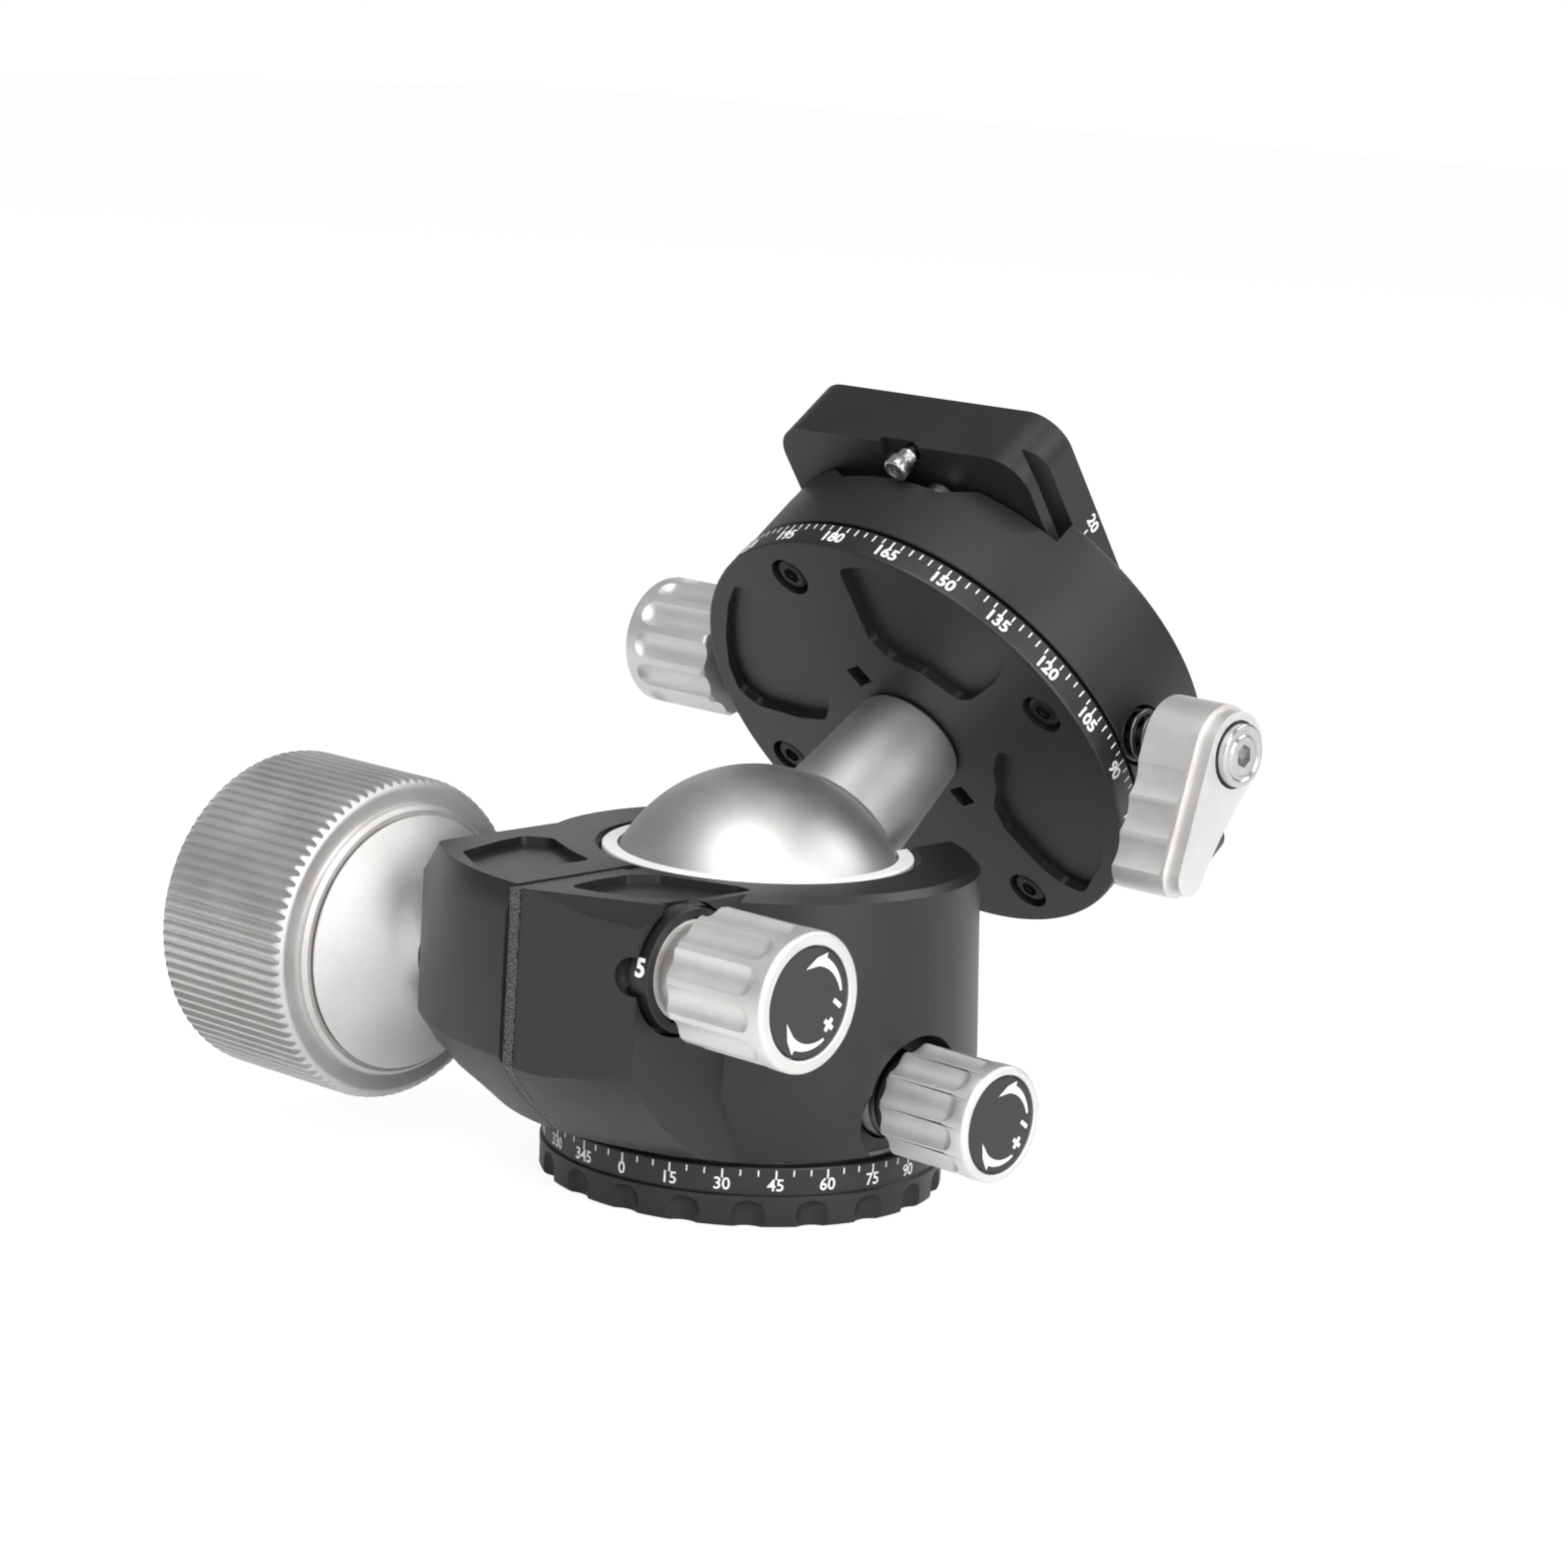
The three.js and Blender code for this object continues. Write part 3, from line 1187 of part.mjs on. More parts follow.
const shoeStart = spindleFlangeRadius - brakeGrooveDepth + clearance;
const panSealEnd = panBushingEnd + clearance + panSealThickness;
const panKnobStart = panSealEnd + clearance;
const panKnobEnd = panKnobStart + panKnobLength;
const panLockPieces = assembly(panLockFrame,
  piece("pan_lock_bushing", sleeve(panScrewRadius + clearance, panBushingRadius,
    boreRadius + clearance, panBushingEnd, bushingFacets), satinSilver),
  piece("pan_lock_shoe", rod(panScrewRadius - clearance, shoeStart, shoeStart + shoeLength,
    smallFacets), brass),
  piece("pan_lock_washer", sleeve(panScrewRadius + clearance, panBushingRadius + clearance,
    panBushingEnd + clearance, panSealEnd, bushingFacets), blackRubber),
  piece("pan_lock_grip", smallGrip(panKnobRadius, panKnobStart, panKnobEnd, panCapRadius,
    panScrewRadius + clearance), satinSilver),
  piece("pan_lock_cap", smallCap(panCapRadius, panKnobEnd), blackAlloy),
  piece("pan_lock_screw", smallScrew(panScrewRadius, shoeStart + shoeLength + shoeTravel + clearance,
    panKnobEnd), polishedSteel));

const leverPieces = assembly(leverFrame,
  piece("pull_rod", pullRod(), polishedSteel),
  piece("jaw_spring", jawSpring(), springSteel),
  piece("lever_coil", leverCoil(), springSteel),
  piece("clamp_lever", lever(), satinSilver),
  piece("lever_screw", leverScrew(), polishedSteel));

const drumShoeStart = postRadius - postGrooveDepth + clearance;
const drumBushingEnd = plateRadius + clearance + drumCollar;
const drumSealEnd = drumBushingEnd + clearance + drumSealThickness;
const drumKnobStart = drumSealEnd + clearance;
const drumKnobEnd = drumKnobStart + drumKnobLength;
const drumLockPieces = assembly(drumLockFrame,
  piece("drum_lock_bushing", drumLockBushing(), satinSilver),
  piece("drum_lock_shoe", rod(drumShoeRadius, drumShoeStart, drumShoeStart + drumShoeLength,
    smallFacets), brass),
  piece("drum_lock_washer", sleeve(drumScrewRadius + clearance, drumSealRadius,
    drumBushingEnd + clearance, drumSealEnd, bushingFacets), blackRubber),
  piece("drum_lock_grip", smallGrip(drumKnobRadius, drumKnobStart, drumKnobEnd, drumCapRadius,
    drumScrewRadius + clearance), satinSilver),
  piece("drum_lock_cap", smallCap(drumCapRadius, drumKnobEnd), blackAlloy),
  piece("drum_lock_screw", smallScrew(drumScrewRadius,
    drumShoeStart + drumShoeLength + shoeTravel + clearance, drumKnobEnd), polishedSteel));

const stemPieces = assembly(stemFrame,
  piece("ball_and_stem", ballAndStem(), satinSilver),
  piece("scale_plate", scalePlate(), blackAlloy),
  ...numbered("plate_screw", plateScrews(), polishedSteel),
  piece("pan_post", panPost(), satinSilver),
  piece("drum_retainer", drumRetainer(), polishedSteel),
  piece("centre_screw", centreScrew(), polishedSteel),
  piece("drum_thrust_washer", drumThrustWasher(), whitePolymer),
  piece("drum", drum(), blackAlloy),
  piece("fixed_jaw", fixedJaw(), blackAlloy),
  ...numbered("jaw_screw", jawScrews(), polishedSteel),
  piece("movable_jaw", movableJaw(), blackAlloy),
  piece("camera_plate", cameraPlate(), blackAlloy),
  piece("plate_pad", platePad(0), blackRubber),
  ...numbered("stop_screw", stopScrews(), polishedSteel),
  piece("camera_screw", cameraScrew(), polishedSteel),
  leverPieces,
  drumLockPieces);

const ballHead = new THREE.Group();
ballHead.add(basePieces, housingPieces, mainKnobPieces, frictionPieces, panLockPieces, stemPieces);

export default ballHead;
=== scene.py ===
"""Studio scene of a tripod ball head.

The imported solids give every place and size. Each class below models one sub-assembly of the head in
millimetres, in the frame it is drawn in, and sets its pieces down in metres over the solids they
stand for.
"""
from __future__ import annotations

import logging
import math
from dataclasses import dataclass
from enum import Enum
from functools import cache
from typing import Iterable, Sequence

import bmesh
import bpy
from mathutils import Matrix, Vector


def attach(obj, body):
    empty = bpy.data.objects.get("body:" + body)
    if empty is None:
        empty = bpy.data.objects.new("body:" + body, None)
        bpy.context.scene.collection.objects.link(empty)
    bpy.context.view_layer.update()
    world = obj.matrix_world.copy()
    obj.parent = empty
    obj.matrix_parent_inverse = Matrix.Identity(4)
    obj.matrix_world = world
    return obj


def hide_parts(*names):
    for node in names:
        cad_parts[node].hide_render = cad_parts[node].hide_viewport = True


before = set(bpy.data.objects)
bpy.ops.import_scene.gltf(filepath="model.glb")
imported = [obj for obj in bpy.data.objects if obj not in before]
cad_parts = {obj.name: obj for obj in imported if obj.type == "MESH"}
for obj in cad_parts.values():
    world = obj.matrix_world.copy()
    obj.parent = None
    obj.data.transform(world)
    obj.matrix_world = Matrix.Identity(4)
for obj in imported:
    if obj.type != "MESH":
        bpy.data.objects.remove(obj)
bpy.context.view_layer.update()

logging.basicConfig(level=logging.INFO, format="%(message)s")
LOG = logging.getLogger("ball_head")

Point = tuple[float, float]
Corner = tuple[float, float, float]
Shape = bpy.types.Object
MM = 0.001
GAP = 0.3
OVERRUN = 1.0
WELD = 1e-4
TURN = 2 * math.pi


# Frames


def frame_along(direction: Vector, side: Vector, origin: Vector) -> Matrix:
    """Frame with its Z along a direction and its Y along a side.

    Args:
        direction: unit vector of the frame's Z.
        side: unit vector of the frame's Y.
        origin: the frame's origin in millimetres.

    Returns:
        The frame as a 4 by 4 matrix.
    """
    across = side.cross(direction)
    turned = Matrix((across, side, direction)).transposed()
    return Matrix.Translation(origin) @ turned.to_4x4()


TILT = math.radians(53.95)
BALL_HEIGHT = 30.2
CLAMP_AXIS = 39.9
UP, RIGHT, LEFT = Vector((0, 0, 1)), Vector((1, 0, 0)), Vector((-1, 0, 0))
BODY_FRAME = Matrix.Identity(4)
STEM_FRAME = frame_along(Vector((0, math.sin(TILT), math.cos(TILT))),
                         Vector((0, math.cos(TILT), -math.sin(TILT))), Vector((0, 0, BALL_HEIGHT)))
MAIN_KNOB_FRAME = frame_along(LEFT, UP, Vector((0, -26, 24.8)))
FRICTION_FRAME = frame_along(RIGHT, UP, Vector((0, -28.6, 31.3)))
PAN_LOCK_FRAME = frame_along(RIGHT, UP, Vector((0, 0, 14.2)))
LEVER_FRAME = STEM_FRAME @ frame_along(RIGHT, UP, Vector((0, 0, CLAMP_AXIS)))
DRUM_LOCK_FRAME = STEM_FRAME @ frame_along(LEFT, UP, Vector((0, 0, CLAMP_AXIS)))


def polar(radius: float, degrees: float) -> Point:
    """Point at a radius and an angle about the origin."""
    return radius * math.cos(math.radians(degrees)), radius * math.sin(math.radians(degrees))


def turn_about(axis: str, degrees: float) -> Matrix:
    """Rotation about one of the axes."""
    return Matrix.Rotation(math.radians(degrees), 4, axis)


def shift_by(x: float, y: float, z: float = 0) -> Matrix:
    """Translation by three lengths."""
    return Matrix.Translation((x, y, z))


def arc(radius: float, start: float, end: float, steps: int, centre: Point = (0, 0)) -> list[Point]:
    """Points of an arc.

    Args:
        radius: the arc's radius.
        start: its first angle in degrees.
        end: its last angle in degrees.
        steps: how many equal stretches it has.
        centre: its centre.

    Returns:
        The points, one more than the steps.
    """
    turns = (start + (end - start) * i / steps for i in range(steps + 1))
    return [(centre[0] + x, centre[1] + y) for x, y in (polar(radius, turn) for turn in turns)]


def curve(start: Point, corner: Point, end: Point, shares: Iterable[float]) -> list[Point]:
    """Points of a curve that leaves its start towards a corner and reaches its end from there.

    Args:
        start: the first end.
        corner: the point where both ends' tangents meet.
        end: the last end.
        shares: how far along the curve each point lies, from 0 to 1.

    Returns:
        The points.
    """
    return [tuple(a * (1 - share) ** 2 + b * 2 * share * (1 - share) + c * share ** 2
                  for a, b, c in zip(start, corner, end)) for share in shares]


def rounded(outline: Sequence[Point], radius: float, steps: int = 5) -> list[Point]:
    """Outline with each corner rounded.

    Args:
        outline: corners of a closed polygon.
        radius: the corners' radius, drawn in where an edge is too short for it.
        steps: stretches of each corner.

    Returns:
        The rounded outline's points.
    """
    points: list[Point] = []
    count = len(outline)
    for i, corner in enumerate(outline):
        here = Vector(corner)
        before, after = Vector(outline[i - 1]) - here, Vector(outline[(i + 1) % count]) - here
        half = before.angle(after) / 2
        reach = min(radius / math.tan(half), 0.48 * before.length, 0.48 * after.length)
        first, last = here + before.normalized() * reach, here + after.normalized() * reach
        points += curve(first, here, last, (step / steps for step in range(steps + 1)))
    return points


def sphere_profile(radius: float, centre: float, low: float, high: float, steps: int) -> list[Point]:
    """Profile of a ball-shaped face between two heights, as (radius, height) points.

    Args:
        radius: the ball's radius.
        centre: height of the ball's centre.
        low: height of the first point.
        high: height of the last point.
        steps: how many stretches the profile has.

    Returns:
        The profile's points.
    """
    start, end = math.asin((low - centre) / radius), math.asin((high - centre) / radius)
    turns = [start + (end - start) * i / steps for i in range(steps + 1)]
    return [(radius * math.cos(turn), centre + radius * math.sin(turn)) for turn in turns]


# Bench: shapes made with operators, as by hand


class Join(Enum):
    """Ways to combine two bodies."""

    CUT = "DIFFERENCE"
    FUSE = "UNION"
    SHARE = "INTERSECT"


class Bench:
    """Edit-mode tools that shape one mesh at a time, in millimetres.

    Corners nearer than CLOSE are welded before a bevel, and faces that turn by less than FLAT degrees
    are made one.
    """

    CLOSE = 0.01
    FLAT = 0.4

    @staticmethod
    def clear() -> None:
        """Leave edit mode with nothing selected."""
        if bpy.context.object and bpy.context.object.mode != "OBJECT":
            bpy.ops.object.mode_set(mode="OBJECT")
        bpy.ops.object.select_all(action="DESELECT")

    @classmethod
    def pick(cls, *pieces: Shape) -> None:
        """Select these pieces alone, the first one active.

        Args:
            pieces: the objects to select.
        """
        cls.clear()
        for piece in pieces:
            piece.select_set(True)
        bpy.context.view_layer.objects.active = pieces[0]

    @classmethod
    def line(cls, points: Sequence[Corner], closed: bool = True) -> Shape:
        """Edges drawn from point to point out of one corner of a plane, left in edit mode.

        Args:
            points: the corners in order.
            closed: whether the line returns to its first corner.

        Returns:
            The new object.
        """
        cls.clear()
        bpy.ops.mesh.primitive_plane_add(size=1)
        bpy.ops.object.mode_set(mode="EDIT")
        bpy.ops.mesh.select_mode(type="VERT")
        bpy.ops.mesh.select_all(action="SELECT")
        bpy.ops.mesh.merge(type="CENTER")
        bpy.ops.transform.translate(value=points[0])
        path = [*points[1:], points[0]] if closed else points[1:]
        for here, there in zip(points, path):
            step = Vector(there) - Vector(here)
            bpy.ops.mesh.extrude_region_move(TRANSFORM_OT_translate={"value": step})
        bpy.ops.mesh.select_all(action="SELECT")
        bpy.ops.mesh.remove_doubles(threshold=WELD)
        return bpy.context.object

    @staticmethod
    def close() -> Shape:
        """Weld the mesh in edit mode, turn its faces outwards and leave edit mode.

        Returns:
            The object.
        """
        bpy.ops.mesh.select_all(action="SELECT")
        bpy.ops.mesh.remove_doubles(threshold=WELD)
        bpy.ops.mesh.normals_make_consistent(inside=False)
        bpy.ops.object.mode_set(mode="OBJECT")
        return bpy.context.object

    @classmethod
    def turned(cls, profile: Sequence[Point], steps: int = 96) -> Shape:
        """A profile of (radius, height) points spun about Z.

        Args:
            profile: the points; a profile that starts and ends on the axis is left open there.
            steps: how many faces go round.

        Returns:
            The new object.
        """
        solid = profile[0][0] == 0 and profile[-1][0] == 0
        cls.line([(radius, 0, height) for radius, height in profile], closed=not solid)
        bpy.ops.mesh.select_all(action="SELECT")
        bpy.ops.mesh.spin(steps=steps, angle=TURN, center=(0, 0, 0), axis=(0, 0, 1))
        return cls.close()

    @classmethod
    def raised(cls, outline: Sequence[Point], low: float, high: float, taper: float = 1.0) -> Shape:
        """An outline filled and extruded from one height to another, its top drawn in towards Z.

        Args:
            outline: the corners in plan.
            low: height of the foot.
            high: height of the top.
            taper: scale of the top about Z.

        Returns:
            The new object.
        """
        cls.line([(x, y, low) for x, y in outline])
        bpy.ops.mesh.edge_face_add()
        bpy.ops.mesh.extrude_region_move(TRANSFORM_OT_translate={"value": (0, 0, high - low)})
        if taper != 1.0:
            bpy.ops.transform.resize(value=(taper, taper, 1), center_override=(0, 0, high))
        return cls.close()

    @classmethod
    def drawn(cls, section: Sequence[Point], low: float, high: float) -> Shape:
        """A section of (x, z) points filled and extruded along Y.

        Args:
            section: the corners.
            low: Y of one end.
            high: Y of the other end.

        Returns:
            The new object.
        """
        cls.line([(x, low, z) for x, z in section])
        bpy.ops.mesh.edge_face_add()
        bpy.ops.mesh.extrude_region_move(TRANSFORM_OT_translate={"value": (0, high - low, 0)})
        return cls.close()

    @classmethod
    def bar(cls, radius: float, low: float, high: float, at: Point = (0, 0), sides: int = 48,
            dome: float = 0.0) -> Shape:
        """A round bar along Z, with its upper edge rounded where a dome is given.

        Args:
            radius: the bar's radius.
            low: its lower end.
            high: its upper end.
            at: its axis in plan.
            sides: how many sides it has.
            dome: radius of its upper edge.

        Returns:
            The new object.
        """
        cls.clear()
        bpy.ops.mesh.primitive_cylinder_add(vertices=sides, radius=radius, depth=high - low,
                                            location=(*at, (low + high) / 2))
        piece = bpy.context.object
        bpy.ops.object.transform_apply()
        if dome:
            bpy.ops.object.mode_set(mode="EDIT")
            bpy.ops.mesh.select_all(action="DESELECT")
            mesh = bmesh.from_edit_mesh(piece.data)
            for edge in mesh.edges:
                edge.select_set(all(corner.co.z > high - WELD for corner in edge.verts))
            bmesh.update_edit_mesh(piece.data)
            bpy.ops.mesh.bevel(offset=dome, segments=5)
            bpy.ops.object.mode_set(mode="OBJECT")
        return piece

    @classmethod
    def block(cls, low: Corner, high: Corner) -> Shape:
        """A box between two opposite corners.

        Args:
            low: the corner with the least of each coordinate.
            high: the opposite corner.

        Returns:
            The new object.
        """
        cls.clear()
        middle = [(a + b) / 2 for a, b in zip(low, high)]
        bpy.ops.mesh.primitive_cube_add(size=1, location=middle, scale=[b - a for a, b in zip(low, high)])
        bpy.ops.object.transform_apply()
        return bpy.context.object

    @classmethod
    def moved(cls, piece: Shape, place: Matrix) -> Shape:
        """The piece moved by a matrix that is applied to its mesh.

        Args:
            piece: the object.
            place: the matrix.

        Returns:
            The piece.
        """
        cls.pick(piece)
        piece.matrix_world = place @ piece.matrix_world
        bpy.ops.object.transform_apply()
        return piece

    @classmethod
    def copied(cls, piece: Shape, places: Iterable[Matrix]) -> Shape:
        """Copies of a piece at the given places, joined in one object in its stead.

        Args:
            piece: the object, which is used up.
            places: the copies' matrices.

        Returns:
            The joined copies.
        """
        copies = []
        for place in places:
            copy = piece.copy()
            copy.data = piece.data.copy()
            copy.matrix_world = place
            bpy.context.scene.collection.objects.link(copy)
            copies.append(copy)
        bpy.data.objects.remove(piece)
        return cls.joined(*copies)

    @classmethod
    def around(cls, piece: Shape, count: int, first: float = 0) -> Shape:
        """Copies of a piece spread evenly round Z, joined in one object.

        Args:
            piece: the object, which is used up.
            count: how many copies there are.
            first: the first copy's angle in degrees.

        Returns:
            The joined copies.
        """
        turns = (math.radians(first) + TURN * i / count for i in range(count))
        return cls.copied(piece, [Matrix.Rotation(turn, 4, "Z") for turn in turns])

    @classmethod
    def socketed(cls, screw: Shape, radius: float, low: float, high: float) -> Shape:
        """The screw with a hexagonal socket cut into its head.

        Args:
            screw: a screw along Z.
            radius: the socket's radius over its corners.
            low: lower end of the cutter.
            high: its upper end.

        Returns:
            The screw.
        """
        return cls.combined(screw, cls.bar(radius, low, high, sides=6))

    @classmethod
    def joined(cls, *pieces: Shape) -> Shape:
        """Several objects joined in one, without cutting them.

        Args:
            pieces: the objects.

        Returns:
            The one object.
        """
        cls.pick(*pieces)
        if len(pieces) > 1:
            bpy.ops.object.join()
        bpy.ops.object.transform_apply()
        return bpy.context.object

    @classmethod
    def combined(cls, body: Shape, *tools: Shape,
                 how: Join = Join.CUT) -> Shape:
        """The body cut by, fused with or limited to each tool in turn.

        Args:
            body: the object that is kept.
            tools: the objects that are used up.
            how: the way they are combined.

        Returns:
            The body.
        """
        for tool in tools:
            cls.pick(body)
            change = body.modifiers.new("change", "BOOLEAN")
            change.operation, change.solver, change.object = how.value, "MANIFOLD", tool
            bpy.ops.object.modifier_apply(modifier=change.name)
            bpy.data.objects.remove(tool)
        return body

    @classmethod
    def eased(cls, piece: Shape, width: float, steps: int = 2,
              sharper: float = 30) -> Shape:
        """The piece with its sharp edges bevelled.

        Args:
            piece: the object.
            width: the bevel's width.
            steps: the bevel's segments.
            sharper: edges that turn by more than this many degrees are bevelled.

        Returns:
            The piece.
        """
        cls.pick(piece)
        bpy.ops.object.mode_set(mode="EDIT")
        bpy.ops.mesh.select_all(action="SELECT")
        bpy.ops.mesh.remove_doubles(threshold=cls.CLOSE)
        bpy.ops.mesh.dissolve_limited(angle_limit=math.radians(cls.FLAT))
        bpy.ops.object.mode_set(mode="OBJECT")
        ease = piece.modifiers.new("ease", "BEVEL")
        ease.width, ease.segments, ease.limit_method = width, steps, "ANGLE"
        ease.angle_limit, ease.use_clamp_overlap = math.radians(sharper), True
        ease.miter_outer = "MITER_ARC"
        bpy.ops.object.modifier_apply(modifier=ease.name)
        return piece

    @classmethod
    def set_down(cls, piece: Shape, name: str, place: Matrix, finish: "Finish",
                 body: str, nodes: Sequence[str] = (), smooth: float = 35) -> Shape:
        """Place a finished piece in metres, dress it and let it ride on its body.

        Args:
            piece: the object, in millimetres.
            name: the piece's name.
            place: the frame it was drawn in.
            finish: its finish.
            body: the body that it rides on.
            nodes: the solids that it stands for.
            smooth: edges that turn by less than this many degrees are shaded smooth.

        Returns:
            The piece.
        """
        cls.pick(piece)
        piece.matrix_world = Matrix.Scale(MM, 4) @ place @ piece.matrix_world
        bpy.ops.object.transform_apply()
        bpy.ops.object.shade_smooth_by_angle(angle=math.radians(smooth))
        even = piece.modifiers.new("even", "WEIGHTED_NORMAL")
        even.keep_sharp, even.weight = True, 100
        bpy.ops.object.modifier_apply(modifier=even.name)
        piece.name = piece.data.name = name
        piece.data.materials.clear()
        piece.data.materials.append(finish.made())
        if nodes:
            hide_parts(*nodes)
        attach(piece, body)
        LOG.info("%s: %d faces on %s", name, len(piece.data.polygons), body)
        cls.clear()
        return piece


# Materials


class Signal:
    """A number inside a material's nodes, written as ordinary sums."""

    def __init__(self, shader: "Shader", socket: bpy.types.NodeSocket) -> None:
        """Wrap one output socket of a shader's node."""
        self.shader, self.socket = shader, socket

    def _with(self, operation: str, first: object, second: object) -> "Signal":
        """Add one Math node and give its output."""
        node = self.shader.node("ShaderNodeMath", {"operation": operation}, {0: first, 1: second})
        return Signal(self.shader, node.outputs[0])

    def __add__(self, other: object) -> "Signal":
        """This number plus another."""
        return self._with("ADD", self, other)

    def __radd__(self, other: object) -> "Signal":
        """Another number plus this one."""
        return self._with("ADD", other, self)

    def __sub__(self, other: object) -> "Signal":
        """This number less another."""
        return self._with("SUBTRACT", self, other)

    def __rsub__(self, other: object) -> "Signal":
        """Another number less this one."""
        return self._with("SUBTRACT", other, self)

    def __mul__(self, other: object) -> "Signal":
        """This number times another."""
        return self._with("MULTIPLY", self, other)

    def __rmul__(self, other: object) -> "Signal":
        """Another number times this one."""
        return self._with("MULTIPLY", other, self)


class Shader:
    """Nodes of one material or world, made by one method."""

    def __init__(self, owner: bpy.types.Material | bpy.types.World, output: str) -> None:
        """Clear an owner's nodes and start with its output.

        Args:
            owner: the material or world.
            output: type of its output node.
        """
        owner.use_nodes = True
        self.tree = owner.node_tree
        self.tree.nodes.clear()
        self.output = self.node(output, {}, {})

    def node(self, kind: str, settings: dict[str, object],
             values: dict[str | int, object]) -> bpy.types.Node:
        """Add a node.

        Args:
            kind: the node's type.
            settings: its properties, such as a Math node's operation, or "stops" of a ramp.
            values: values or links of its input sockets.

        Returns:
            The node.
        """
        node = self.tree.nodes.new(kind)
        for key, value in settings.items():
            if key == "stops":
                while len(node.color_ramp.elements) > 1:
                    node.color_ramp.elements.remove(node.color_ramp.elements[0])
                for i, (place, colour) in enumerate(value):
                    stop = node.color_ramp.elements[0] if i == 0 else node.color_ramp.elements.new(place)
                    stop.position, stop.color = place, (*colour, 1)
            else:
                setattr(node, key, value)
        for key, value in values.items():
            self.feed(node.inputs[key], value)
        return node

    def feed(self, socket: bpy.types.NodeSocket, value: object) -> None:
        """Link a signal or a socket to an input, or set the input to a constant.

        Args:
            socket: the input.
            value: what goes in.
        """
        if isinstance(value, Signal):
            value = value.socket
        if isinstance(value, bpy.types.NodeSocket):
            self.tree.links.new(value, socket)
        else:
            socket.default_value = value

    def seen(self, ray: str) -> Signal:
        """One for rays of a kind, such as camera rays, and nought for others."""
        return Signal(self, self.node("ShaderNodeLightPath", {}, {}).outputs[ray])

    def mixed(self, factor: Signal, first: bpy.types.Node, second: bpy.types.Node) -> None:
        """Show one of two shaders, or a mix of them, on the owner's surface.

        Args:
            factor: nought for the first, one for the second.
            first: a shader node.
            second: another.
        """
        mix = self.node("ShaderNodeMixShader", {}, {0: factor, 1: first.outputs[0], 2: second.outputs[0]})
        self.feed(self.output.inputs["Surface"], mix.outputs[0])


class SurfaceShader(Shader):
    """One material's nodes round a Principled shader, read in Object coordinates."""

    def __init__(self, name: str) -> None:
        """Start a material with only its shader and output.

        Args:
            name: the material's name.
        """
        self.material = bpy.data.materials.new(name)
        super().__init__(self.material, "ShaderNodeOutputMaterial")
        self.surface = self.node("ShaderNodeBsdfPrincipled", {}, {})
        self.feed(self.output.inputs["Surface"], self.surface.outputs[0])
        self.place = self.node("ShaderNodeTexCoord", {}, {}).outputs["Object"]

    def noise(self, size_mm: float, detail: float = 2, rough: float = 0.5) -> Signal:
        """Soft noise in Object coordinates.

        Args:
            size_mm: about how large its features are.
            detail: how many finer layers it has.
            rough: how strong those layers are.

        Returns:
            The noise as a number.
        """
        node = self.node("ShaderNodeTexNoise", {}, {"Vector": self.place, "Scale": 1 / (size_mm * MM),
                                                    "Detail": detail, "Roughness": rough})
        return Signal(self, node.outputs[0])

    def ramp(self, factor: Signal, stops: Sequence[tuple[float, Corner]]) -> bpy.types.NodeSocket:
        """Colour that follows a number through the given stops."""
        return self.node("ShaderNodeValToRGB", {"stops": stops}, {0: factor}).outputs[0]

    def bump(self, height: Signal, depth_mm: float, strength: float = 1) -> None:
        """Feed a height, in shares of a depth, to the surface's normal.

        Args:
            height: the height, from nought to one.
            depth_mm: the height's full depth.
            strength: how much of it shows.
        """
        node = self.node("ShaderNodeBump", {}, {"Height": height, "Distance": depth_mm * MM,
                                                "Strength": strength})
        self.set(Normal=node.outputs[0])

    def set(self, **values: object) -> None:
        """Set or link the surface's sockets, with underscores for spaces in their names."""
        for key, value in values.items():
            self.feed(self.surface.inputs[key.replace("_", " ")], value)


def grey(level: float, warmth: float = 0.0) -> Corner:
    """A grey of a linear level, a little warmer or colder."""
    return level * (1 + warmth), level, level * (1 - warmth)


class Finish:
    """What every finish shares: a name, a slot, and a grey that varies between two shares."""

    name: str
    slot: str
    level: float
    shares: Point
    wear: float = 0.1

    def lay_out(self, shader: SurfaceShader) -> None:
        """Set the colour, roughness and grain."""
        raise NotImplementedError

    @cache
    def made(self) -> bpy.types.Material:
        """Build the material, once however often it is asked for.

        Returns:
            The material.
        """
        shader = SurfaceShader(self.name)
        self.lay_out(shader)
        return shader.material

    def greys(self, stops: Point = (0.3, 0.7), warmth: Point = (0.0, 0.01)) -> list[tuple[float, Corner]]:
        """Stops of a ramp between the darker and the paler grey.

        Args:
            stops: where on the ramp both lie.
            warmth: how warm each is.

        Returns:
            The stops.
        """
        return [(stop, grey(self.level * share, warm))
                for stop, share, warm in zip(stops, self.shares, warmth)]

    def worn(self, roughness: float, pattern: Signal) -> Signal:
        """Roughness that follows a pattern round its middle value."""
        return (roughness - self.wear / 2) + self.wear * pattern


